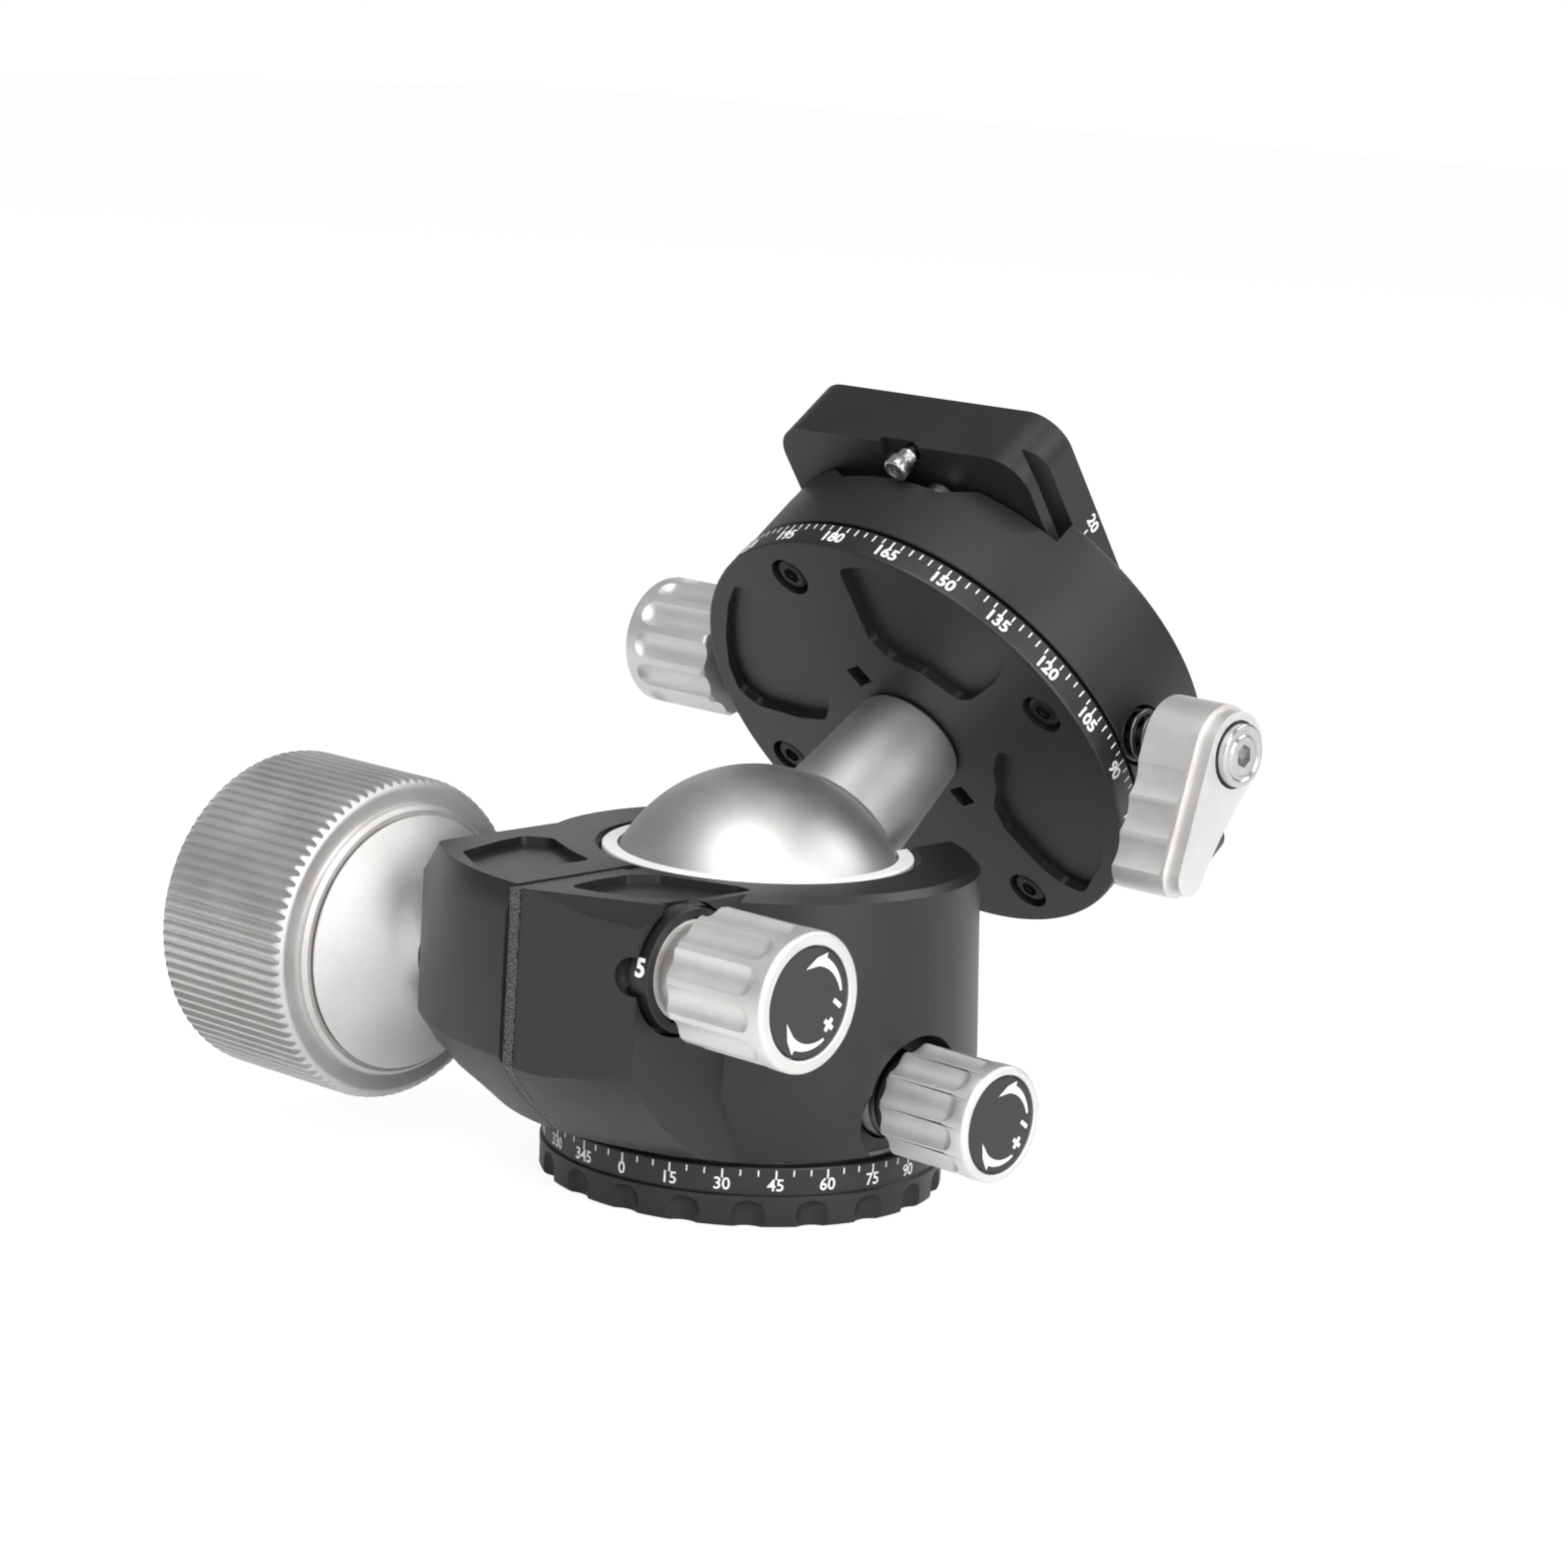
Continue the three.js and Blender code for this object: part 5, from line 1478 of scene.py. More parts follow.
    def liner(self) -> Shape:
        """Pale ring round the ball, open at the notch.

        Returns:
            The new object.
        """
        outer, cone, foot = self.bore - GAP, self.top - self.lip_drop, self.liner_foot
        face = sphere_profile(self.ball_room, BALL_HEIGHT, foot, self.top, 18)
        ring = Bench.turned([
            (outer, foot), (outer, cone - outer + self.liner_top), (self.liner_top, cone),
            (self.liner_top, self.top - 0.15), (self.liner_top - 0.15, self.top), *reversed(face)], 128)
        return Bench.combined(ring, self.notch_cutter())

    def build(self) -> None:
        """Model and dress the housing."""
        self.put(self.shell(), BLACK, "housing")
        self.put(self.liner(), WHITE, "ball_liner")
        self.put(self.strip(), SEAL, "slit_seal")


@dataclass
class MainKnob(Part):
    """Large fluted clamp knob with its cone collar."""

    place = MAIN_KNOB_FRAME
    body = "main_knob"
    jaw_face: float = 24.0
    reach: float = 6.3
    start: float = 31.7
    end: float = 52.6
    radius: float = 19.1
    flutes: int = 90
    depth: float = 0.62
    edge: float = 1.3
    ring: float = 16.0
    collar_foot: float = 4.2
    collar_rim: float = 15.0
    hollow_share: float = 0.4
    bore: float = 3.3
    cap_radius: float = 13.7
    cap_thick: float = 1.4
    marks_inset: float = 2.4
    cavity: float = 12.0
    cavity_depth: float = 8.6
    flute_shares: tuple[Point, ...] = ((0.08, 0.0), (0.36, 0.0), (0.46, 0.45), (0.58, 0.95), (0.86, 0.95),
                                       (0.98, 0.45))

    def collar(self) -> Shape:
        """Cone that swells in a hollow curve from the jaw to the knob.

        Returns:
            The new object.
        """
        foot, rim = self.jaw_face + GAP, self.jaw_face + self.reach
        start, stop = (self.collar_foot, foot), (self.collar_rim, rim - 0.35)
        bend = (start[0] + self.hollow_share * (stop[0] - start[0]), rim - self.hollow_share * self.reach)
        flank = curve(start, bend, stop, (i / 16 for i in range(17)))
        return Bench.turned([(self.bore, foot), *flank, (self.collar_rim - 0.1, rim), (self.bore, rim)], 144)

    def grip(self) -> Shape:
        """Fluted barrel with a smooth ring at its foot and a seat for the cap.

        Returns:
            The new object.
        """
        outline = [polar(self.radius - drop * self.depth, 360 * (i + share) / self.flutes)
                   for i in range(self.flutes) for share, drop in self.flute_shares]
        barrel = Bench.raised(outline, self.start, self.end)
        edge, inner = self.edge, self.radius - self.edge
        foot = arc(edge, -90, 0, 5, (inner, self.start + edge))
        rim = arc(edge, 0, 90, 5, (inner, self.end - edge))
        Bench.combined(barrel, Bench.turned([
            (0, self.start), *foot, *rim, (0, self.end)], 180), how=Join.SHARE)
        low = self.jaw_face + self.reach + GAP
        ring = Bench.turned([
            (0, low), (self.ring - 0.5, low), (self.ring, low + 0.4), (self.ring, low + 0.8),
            (self.ring + 0.6, self.start + OVERRUN), (0, self.start + OVERRUN)], 144)
        Bench.combined(barrel, ring, how=Join.FUSE)
        seat, lip = self.end - self.cap_thick - 2 * GAP, self.cap_radius + 0.6 * GAP
        floor = seat - self.cavity_depth
        hollow = Bench.turned([
            (0, floor), (self.cavity, floor), (self.cavity, seat), (lip, seat), (lip, self.end - 0.2),
            (lip + 0.2 + OVERRUN, self.end + OVERRUN), (0, self.end + OVERRUN)], 144)
        return Bench.combined(barrel, hollow, Bench.bar(self.bore, low - OVERRUN, seat))

    def cap(self) -> Shape:
        """Cap with a shallow turned groove.

        Returns:
            The new object.
        """
        top = self.end - GAP
        foot, radius = top - self.cap_thick, self.cap_radius
        return Bench.turned([
            (0, foot), (radius, foot), (radius, top - 0.3), (radius - 0.09, top - 0.09), (radius - 0.3, top),
            (radius - 1.6, top), (radius - 1.75, top - 0.15), (radius - 2.0, top - 0.15),
            (radius - 2.15, top), (0, top)], 144)

    def build(self) -> None:
        """Model and dress the collar and the knob."""
        self.put(self.collar(), SILVER, "knob_collar", body="housing")
        # The grip wears the darker silver, which partly paints the shade on its flutes and sides.
        self.put(self.grip(), SHADED_GRIP_SILVER, "main_knob_grip", smooth=28)
        self.put(self.cap(), CAP_BLACK, "main_knob_cap")
        marks = Marks.cap_arrows(self.cap_radius - self.marks_inset, self.end - GAP)
        self.put(marks, PAINT, "main_knob_cap_arrows", solid=False)


@dataclass
class FrictionControl(Part):
    """Numbered cone and the knob that sets the friction."""

    place = FRICTION_FRAME
    body = "friction_knob"
    foot: float = 14.4
    wide: float = 7.0
    inner: float = 6.0
    band_end: float = 17.1
    neck: float = 5.4
    nose: float = 6.3
    end: float = 20.0
    bore: float = 2.6
    digit: float = 2.0
    digit_at: float = 16.0
    index: float = 172.0
    numbers_seen: tuple[int, ...] = (1, 3, 5)

    def cone(self) -> Shape:
        """Neck that widens from the numbered band to the knob.

        Returns:
            The new object.
        """
        seat = self.inner - GAP
        return Bench.turned([
            (self.bore, self.foot), (seat, self.foot), (seat, self.band_end - GAP),
            (self.neck, self.band_end - GAP), (self.neck, self.band_end), (self.nose, self.end - 0.15),
            (self.nose - 0.15, self.end), (self.bore, self.end)], 120)

    def band(self) -> Shape:
        """Black band that carries the numbers.

        Returns:
            The new object.
        """
        low, high, wide, ease = self.foot, self.band_end, self.wide, 0.12
        return Bench.turned([
            (self.inner, low), (wide - ease, low), (wide, low + ease), (wide, high - ease),
            (wide - ease, high), (self.inner, high)], 120)

    def numbers(self) -> Shape:
        """Numbers spread round the band, with the last of them at the index.

        Returns:
            The numbers as one object.
        """
        marks, last = [], self.numbers_seen[-1]
        for number in self.numbers_seen:
            turn = self.index + 60 * (last - number)
            out, up = Vector((*polar(1, turn), 0)), Vector((*polar(1, turn - 90), 0))
            place = frame_along(out, up, out * (self.wide + 0.03) + UP * self.digit_at)
            marks.append(Marks.number(str(number), self.digit, place, 0.05))
        return Bench.joined(*marks)

    def build(self) -> None:
        """Model and dress the friction control."""
        self.put(self.cone(), SILVER, "friction_dial")
        self.put(self.band(), BLACK, "friction_band", solid=False)
        self.put(self.numbers(), PAINT, "friction_numbers", solid=False)
        knob = SmallKnob("friction_knob", self.place, self.body, radius=7.8, start=self.end + GAP,
                         length=14.1, cap_radius=6.1, bore=self.bore)
        knob.build()


@dataclass
class PanLock(Part):
    """Threaded bushing, washer and knob of the pan lock."""

    place = PAN_LOCK_FRAME
    body = "pan_lock_knob"
    bushing: float = 5.0
    bushing_end: float = 24.0
    thread_depth: float = 0.28
    pitch: float = 0.6
    bore: float = 2.3
    start: float = 20.5
    seal: float = 1.5

    def threaded(self) -> Shape:
        """Bushing with a fine outer thread.

        Returns:
            The new object.
        """
        crest, root = self.bushing, self.bushing - self.thread_depth
        thread = []
        height = self.start + 0.2
        while height + self.pitch < self.bushing_end - 0.1:
            thread += [(root, height), (crest, height + self.pitch / 2)]
            height += self.pitch
        return Bench.turned([
            (self.bore, self.start), (root, self.start), *thread, (root, self.bushing_end),
            (self.bore, self.bushing_end)], 96)

    def washer(self) -> Shape:
        """Rubber washer with a rounded rim.

        Returns:
            The new object.
        """
        low, high, wide = self.bushing_end + GAP, self.bushing_end + GAP + self.seal, self.bushing + GAP
        rim = arc(self.seal / 2, -90, 90, 8, (wide - self.seal / 2, (low + high) / 2))
        return Bench.turned([(self.bore, low), *rim, (self.bore, high)])

    def build(self) -> None:
        """Model and dress the pan lock."""
        self.put(self.threaded(), BUSHING_STEEL, "pan_lock_bushing", body="housing")
        self.put(self.washer(), RUBBER, "pan_lock_washer")
        knob = SmallKnob("pan_lock", self.place, self.body, radius=6.7,
                         start=self.bushing_end + 2 * GAP + self.seal, length=12.6, cap_radius=5.5,
                         bore=self.bore)
        knob.build()


@dataclass
class StemAndPlate(Part):
    """Ball, stem and the numbered scale plate."""

    place = STEM_FRAME
    body = "ball"
    ball: float = 18.0
    root: float = 8.1
    tip: float = 6.9
    stem_top: float = 32.0
    spigot: float = 5.0
    screw_bore: float = 2.8
    bore_floor: float = 21.5
    plate: float = 29.9
    foot: float = 32.3
    top: float = 36.2
    edge: float = 0.4
    pocket: float = 1.2
    pocket_corner: float = 1.8
    screws: int = 4
    screw_circle: float = 25.0
    screw_turn: float = -110.0
    screw_head: float = 2.3
    screw_shank: float = 1.25
    screw_sink: float = 1.6
    screw_top: float = 37.0
    socket_turn: float = -116.0
    socket_half: float = 1.3
    ticks: int = 144
    number_height: float = 1.5
    pocket_shares: tuple[tuple[Point, ...], ...] = (
        ((0.01, 0.886), (0.01, 0.512), (0.07, 0.43), (0.22, 0.38), (0.36, 0.27), (0.44, 0.29),
         (0.6, 0.41), (0.69, 0.5), (0.72, 0.6), (0.58, 0.76), (0.35, 0.88), (0.15, 0.91)),
        ((-0.62, 0.7), (-0.73, 0.56), (-0.83, 0.38), (-0.9, 0.2), (-0.91, 0.06), (-0.84, -0.01),
         (-0.62, -0.03), (-0.46, -0.01), (-0.39, 0.1), (-0.36, 0.19), (-0.3, 0.31), (-0.38, 0.45)),
        ((0.46, 0.02), (0.39, -0.09), (0.36, -0.2), (0.3, -0.32), (0.31, -0.44), (0.42, -0.62),
         (0.5, -0.69), (0.6, -0.72), (0.69, -0.61), (0.78, -0.5), (0.86, -0.3), (0.91, -0.1),
         (0.8, 0.01)))

    def ball_and_stem(self) -> Shape:
        """Ball with its tapered stem, turned in one piece.

        Returns:
            The new object.
        """
        join = math.sqrt(self.ball ** 2 - self.root ** 2)
        face = sphere_profile(self.ball, 0, -self.ball, join - 0.45, 56)
        face[0] = (0, -self.ball)
        fillet = [(self.root + 0.12, join + 0.12), (self.root - 0.02, join + 0.5)]
        return Bench.turned([
            *face, *fillet, (self.tip + 0.1, self.stem_top - 0.4), (self.tip - 0.1, self.stem_top),
            (self.spigot, self.stem_top), (self.spigot, self.top - GAP), (self.screw_bore, self.top - GAP),
            (self.screw_bore, self.bore_floor), (0, self.bore_floor)], 144)

    def pockets(self) -> list[Shape]:
        """Cutters of the shallow pockets in the plate's underside.

        Returns:
            The cutters.
        """
        outlines = ([(x * self.plate, -y * self.plate) for x, y in shares] for shares in self.pocket_shares)
        return [Bench.raised(rounded(outline, self.pocket_corner), self.foot - OVERRUN,
                             self.foot + self.pocket) for outline in outlines]

    def scale_plate(self) -> Shape:
        """Plate with its pockets, screw holes and square sockets.

        Returns:
            The new object.
        """
        edge, bore, below = self.edge, self.spigot + GAP, self.foot - OVERRUN
        plate = Bench.turned([
            (bore, self.foot), (self.plate - edge, self.foot), (self.plate - 0.12, self.foot + 0.12),
            (self.plate, self.foot + edge), (self.plate, self.top - edge), (self.plate - edge, self.top),
            (bore, self.top)], 192)
        at, deep, half = (self.screw_circle, 0), self.foot + self.screw_sink, self.socket_half
        counterbore = Bench.bar(self.screw_head + GAP, below, deep, at)
        hole = Bench.bar(self.screw_shank + GAP, self.foot, self.top + OVERRUN, at, 24)
        socket = Bench.block((8.5, -half, below), (8.5 + 2 * half, half, deep))
        Bench.combined(plate, *self.pockets(), Bench.around(counterbore, self.screws, self.screw_turn),
                       Bench.around(hole, self.screws, self.screw_turn),
                       Bench.around(socket, 2, self.socket_turn))
        return Bench.eased(plate, 0.16, 2, 28)

    def scale(self) -> Shape:
        """Ticks every 2.5 degrees and numbers every 15 on the plate's rim.

        Returns:
            The marks as one object.
        """
        rim, marks, step = self.plate + 0.008, [], 360 / self.ticks
        rows = ((0.2, 1.5, lambda i: i % 6 == 0), (0.17, 1.0, lambda i: i % 2 == 0 and i % 6),
                (0.17, 0.78, lambda i: i % 2 == 1))
        for wide, length, wanted in rows:
            turns = [step * i for i in range(self.ticks) if wanted(i)]
            marks.append(Bench.copied(Marks.tick(length, wide), [
                Marks.on_rim(rim, self.top - 0.57, 90 - turn) for turn in turns]))
        for number in range(0, 360, 15):
            place = Marks.on_rim(rim + 0.02, self.foot + 1.42, 90 - number)
            marks.append(Marks.number(str(number), self.number_height, place))
        return Bench.joined(*marks)

    def screw(self, degrees: float) -> Shape:
        """Button screw with a hexagonal socket.

        Args:
            degrees: where on the circle of screws it sits.

        Returns:
            The new object.
        """
        foot, head, shank, seat = self.foot + GAP, self.screw_head, self.screw_shank, self.foot + 1.2
        screw = Bench.turned([
            (0, foot), (head - 0.9, foot), (head - 0.3, foot + 0.15), (head, foot + 0.5), (head, seat),
            (shank, seat), (shank, self.screw_top), (0, self.screw_top)], 36)
        Bench.socketed(screw, 1.1, foot - 0.7, foot + 0.6)
        return Bench.moved(Bench.eased(screw, 0.05, 1), shift_by(*polar(self.screw_circle, degrees)))

    def build(self) -> None:
        """Model and dress the ball, the stem and the plate."""
        self.put(self.ball_and_stem(), BALL_SILVER, "ball_and_stem")
        self.put(self.scale_plate(), BLACK, "scale_plate")
        self.put(self.scale(), PAINT, "plate_scale", solid=False)
        for i in range(self.screws):
            screw = self.screw(self.screw_turn + 360 / self.screws * i)
            self.put(screw, DARK_STEEL, f"plate_screw_{i + 1}")


@dataclass
class Drum(Part):
    """Drum with the dovetail channel and its jaws."""

    place = STEM_FRAME
    body = "drum"
    radius: float = 29.7
    foot: float = 36.6
    top: float = 50.9
    edge: float = 0.6
    channel: float = 20.45
    floor: float = 47.35
    shelf: float = 11.3
    middle: float = 7.5
    middle_floor: float = 45.0
    flange_room: float = 27.4
    flange_top: float = 37.6
    post_room: float = 14.3
    post_top: float = 42.9
    spigot_way: float = 5.3
    rod_way: float = 1.4
    coil_room: float = 3.6
    lock_way: float = 2.9
    slot_half: float = 7.4
    slot_depth: float = 1.2
    slot_turn: float = 220.0
    jaw_half: float = 13.0
    jaw_seat: float = 19.05
    jaw_lip: float = 49.5
    jaw_tip: float = 17.6
    moving_jaw: Corner = (17.3, 22.6, 38.2)
    fixed_jaw: Corner = (19.0, 24.2, 44.0)
    jaw_screw: Corner = (21.9, 8.5, 41.0)
    screw_head: float = 1.9
    screw_shank: float = 1.25
    floor_screw_place: Point = (5.4, -26.3)

    @property
    def jaw_screw_places(self) -> list[Point]:
        """Places of the fixed jaw's screws."""
        along, across, _ = self.jaw_screw
        return [(-along, -across), (-along, across)]

    def drum(self) -> Shape:
        """Drum with its channel and every room below it.

        Returns:
            The new object.
        """
        above, below = self.top + OVERRUN, self.foot - OVERRUN
        body = Bench.turned([
            (0, self.foot), (self.radius - 0.15, self.foot), (self.radius, self.foot + 0.15),
            (self.radius, self.top - self.edge), (self.radius - 0.18, self.top - 0.18),
            (self.radius - self.edge, self.top), (0, self.top)], 192)
        right = [(self.middle, self.middle_floor), (self.shelf, self.floor), (self.channel, self.floor),
                 (self.channel, above)]
        channel = Bench.drawn([*((-x, z) for x, z in reversed(right)), *right],
                              -self.radius - OVERRUN, self.radius + OVERRUN)
        long, out = self.jaw_half + GAP, self.radius + OVERRUN + GAP
        inner, outer, jaw_foot = self.moving_jaw
        to_lever, to_lock = STEM_FRAME.inverted() @ LEVER_FRAME, STEM_FRAME.inverted() @ DRUM_LOCK_FRAME
        tools = [
            channel, Bench.bar(self.flange_room, below, self.flange_top, sides=96),
            Bench.bar(self.post_room, below, self.post_top),
            Bench.bar(self.spigot_way, self.post_top - OVERRUN, above),
            Bench.block((inner - GAP, -long, jaw_foot - GAP), (outer + 2.3, long, above)),
            Bench.block((-self.fixed_jaw[1] - GAP, -long, self.fixed_jaw[2] - GAP),
                        (-self.fixed_jaw[0] + GAP, long, above)),
            Bench.moved(Bench.bar(self.rod_way, 17.3, out), to_lever),
            Bench.moved(Bench.bar(self.coil_room, 27.1, out), to_lever),
            Bench.moved(Bench.bar(self.lock_way, 13, out), to_lock),
            *(Bench.bar(self.screw_shank + GAP, self.jaw_screw[2] - GAP, 44, at, 24)
              for at in self.jaw_screw_places)]
        slot = Bench.block((self.radius - self.slot_depth, -self.slot_half, 45.2),
                           (self.radius + OVERRUN, self.slot_half, 49.4))
        Bench.combined(body, *tools, Bench.around(slot, 2, self.slot_turn))
        return Bench.eased(body, 0.2, 2, 28)

    def jaw(self, sizes: Corner, side: int) -> Shape:
        """Jaw with a lip that hooks over the dovetail.

        Args:
            sizes: the jaw's inner face below the channel, its outer face and its foot along the stem.
            side: 1 for the jaw towards +X, -1 for the other.

        Returns:
            The new object.
        """
        inner, outer, foot = sizes
        tip, seat = self.jaw_tip, self.jaw_seat
        section = [(inner, foot), (outer, foot), (outer, self.top), (tip + 0.15, self.top),
                   (tip, self.top - 0.15), (seat, self.jaw_lip), (seat, self.floor), (inner, self.floor)]
        if side < 0:
            section = [(-x, z) for x, z in reversed(section[:-1])]
        return Bench.drawn(section, -self.jaw_half, self.jaw_half)

    def moving(self) -> Shape:
        """Jaw that the lever pulls, with its way for the pull rod.

        Returns:
            The new object.
        """
        way = Bench.moved(Bench.bar(self.rod_way, 16.3, 23.6), STEM_FRAME.inverted() @ LEVER_FRAME)
        return Bench.eased(Bench.combined(self.jaw(self.moving_jaw, 1), way), 0.18)

    def fixed(self) -> Shape:
        """Jaw that two screws hold, with their counterbores.

        Returns:
            The new object.
        """
        jaw = self.jaw(self.fixed_jaw, -1)
        for at in self.jaw_screw_places:
            Bench.combined(jaw, Bench.bar(self.screw_shank + GAP, 43, self.top, at, 24),
                           Bench.bar(self.screw_head + GAP, 49.0, self.top + OVERRUN, at, 32))
        return Bench.eased(jaw, 0.18)

    def screw(self, at: Point) -> Shape:
        """Screw of the fixed jaw.

        Args:
            at: its axis in plan.

        Returns:
            The new object.
        """
        foot, seat, high = self.jaw_screw[2], 49.3, self.top - GAP
        head, shank = self.screw_head, self.screw_shank
        screw = Bench.turned([
            (0, foot), (shank, foot), (shank, seat), (head, seat), (head, high - 0.2), (head - 0.2, high),
            (0, high)], 32)
        return Bench.moved(Bench.socketed(screw, 1.0, high - 0.7, high + 0.9), shift_by(*at))

    def floor_screw(self) -> Shape:
        """Small socket screw that stands on the channel's floor near the rim.

        Returns:
            The new object.
        """
        foot, high, head = self.middle_floor, self.floor - 0.2, self.screw_head
        screw = Bench.turned([(0, foot), (head, foot), (head, high - 0.2), (head - 0.2, high), (0, high)], 40)
        Bench.socketed(screw, 1.0, high - 1.1, high + OVERRUN)
        return Bench.moved(Bench.eased(screw, 0.06, 2), shift_by(*self.floor_screw_place))

    def build(self) -> None:
        """Model and dress the drum, the jaws and their screws."""
        self.put(self.drum(), BLACK, "drum")
        self.put(self.moving(), BLACK, "movable_jaw", body="jaw")
        self.put(self.fixed(), BLACK, "fixed_jaw")
        for i, at in enumerate(self.jaw_screw_places):
            self.put(self.screw(at), STEEL, f"jaw_screw_{i + 1}")
        self.put(self.floor_screw(), STEEL, "drum_floor_screw", solid=False)


@dataclass
class DrumLock(Part):
    """Bushing, washer and knob of the drum's lock."""

    place = DRUM_LOCK_FRAME
    body = "drum_lock_knob"
    bore: float = 1.6
    start: float = 15.0
    shank: float = 2.5
    collar_foot: float = 30.2
    collar: float = 4.2
    collar_top: float = 31.1
    washer_radius: float = 4.6
    washer_foot: float = 31.4
    washer_top: float = 32.7

    def bushing(self) -> Shape:
        """Bushing with a collar outside the drum.

        Returns:
            The new object.
        """
        low, high, wide = self.collar_foot, self.collar_top, self.collar
        return Bench.turned([
            (self.bore, self.start), (self.shank, self.start), (self.shank, low), (wide - 0.15, low),
            (wide, low + 0.15), (wide, high - 0.15), (wide - 0.15, high), (self.bore, high)], 64)

    def washer(self) -> Shape:
        """Rubber washer with a rounded rim.

        Returns:
            The new object.
        """
        low, high, wide = self.washer_foot, self.washer_top, self.washer_radius
        rim = arc(0.6, -90, 90, 6, (wide, (low + high) / 2))
        return Bench.turned([(self.bore, low), (wide, low), *rim, (wide, high), (self.bore, high)], 64)

    def build(self) -> None:
        """Model and dress the drum lock."""
        self.put(self.bushing(), SILVER, "drum_lock_bushing", body="drum")
        self.put(self.washer(), RUBBER, "drum_lock_washer")
        knob = SmallKnob("drum_lock", self.place, self.body, radius=8.0, start=self.washer_top + GAP,
                         length=13.6, cap_radius=6.3, bore=self.bore)
        knob.build()


@dataclass
class Lever(Part):
    """Clamp lever with its screw and spring."""

    place = LEVER_FRAME
    body = "lever"
    start: float = 34.1
    step: float = 41.4
    end: float = 43.3
    head: float = 5.5
    tip: float = 2.8
    length: float = 15.2
    turn: float = -63.0
    inset: float = 0.5
    waist: float = 1.3
    grooves: int = 3
    groove_radius: float = 4.0
    groove_step: float = 4.2
    grip_depth: float = 0.4
    seat_depth: float = 1.5
    bore: float = 1.4
    screw_head: float = 3.7
    wire: float = 0.35
    coil_radius: float = 2.9
    coil_foot: float = 27.75
    curls: float = 3.5

    def outline(self, inset: float) -> list[Point]:
        """Round head tapering to a round tip along X, drawn in by an inset.

        Args:
            inset: how far it is drawn in.

        Returns:
            Its corners.
        """
        head, tip = self.head - inset, self.tip - inset
        lean = math.degrees(math.acos((self.head - self.tip) / self.length))
        crown, toe = arc(head, lean, 360 - lean, 48), arc(tip, -lean, lean, 16, (self.length, 0))
        (x0, y0), (x1, y1) = toe[-1], crown[0]
        bend = ((x0 + x1) / 2, (y0 + y1) / 2 - self.waist)
        return [*crown, *toe, *curve(toe[-1], bend, crown[0], (i / 12 for i in range(1, 12)))]

    def lever(self) -> Shape:
        """Lever with a stepped face, finger grooves and a seat for its screw.

        Returns:
            The new object.
        """
        below, groove = self.start - OVERRUN, self.groove_radius
        body = Bench.raised(self.outline(0), self.start, self.step)
        Bench.combined(body, Bench.raised(self.outline(self.inset), self.step - OVERRUN, self.end),
                       how=Join.FUSE)
        for i in range(self.grooves):
            along = self.length - self.groove_step * i
            flank = self.head + (self.tip - self.head) * along / self.length
            Bench.combined(body, Bench.bar(groove, below, self.step - self.inset,
                                           (along, -flank - groove + self.grip_depth), 64))
        Bench.combined(body, Bench.bar(self.screw_head + GAP, self.end - self.seat_depth,
                                       self.end + OVERRUN, sides=64),
                       Bench.bar(self.bore, below, self.end - 2 * self.seat_depth, sides=32))
        Bench.eased(body, 0.3, 3, 32)
        return Bench.moved(body, turn_about("Z", self.turn))

    def screw(self) -> Shape:
        """Screw with turned rings round a hexagonal socket.

        Returns:
            The new object.
        """
        low, high, head = self.end - self.seat_depth + GAP, self.end + 1.1, self.screw_head
        screw = Bench.turned([
            (0, low), (head, low), (head, high - 0.2), (head - 0.2, high), (head - 0.7, high),
            (head - 0.9, high - 0.25), (head - 1.25, high - 0.25), (head - 1.45, high - 0.02),
            (0, high - 0.02)], 64)
        return Bench.eased(Bench.socketed(screw, 1.35, high - 1.1, high + OVERRUN), 0.07, 2)

    def coil(self) -> Shape:
        """Spring wire wound from the drum to the lever.

        Returns:
            The new object.
        """
        low, high, sides = self.coil_foot, self.start - GAP - self.wire, 12
        Bench.clear()
        bpy.ops.mesh.primitive_circle_add(vertices=sides, radius=self.wire,
                                          location=(self.coil_radius, 0, low),
                                          rotation=(math.pi / 2, 0, 0))
        piece = bpy.context.object
        bpy.ops.object.transform_apply()
        wind = piece.modifiers.new("wind", "SCREW")
        wind.angle, wind.axis, wind.screw_offset = TURN * self.curls, "Z", high - low
        wind.steps = wind.render_steps = round(36 * self.curls)
        bpy.ops.object.modifier_apply(modifier=wind.name)
        bpy.ops.object.mode_set(mode="EDIT")
        bpy.ops.mesh.select_all(action="SELECT")
        bpy.ops.mesh.fill_holes(sides=sides)
        return Bench.close()

    def build(self) -> None:
        """Model and dress the lever."""
        self.put(self.lever(), SILVER, "clamp_lever")
        self.put(self.screw(), STEEL, "lever_screw")
        self.put(self.coil(), SPRING, "lever_coil", body="drum")


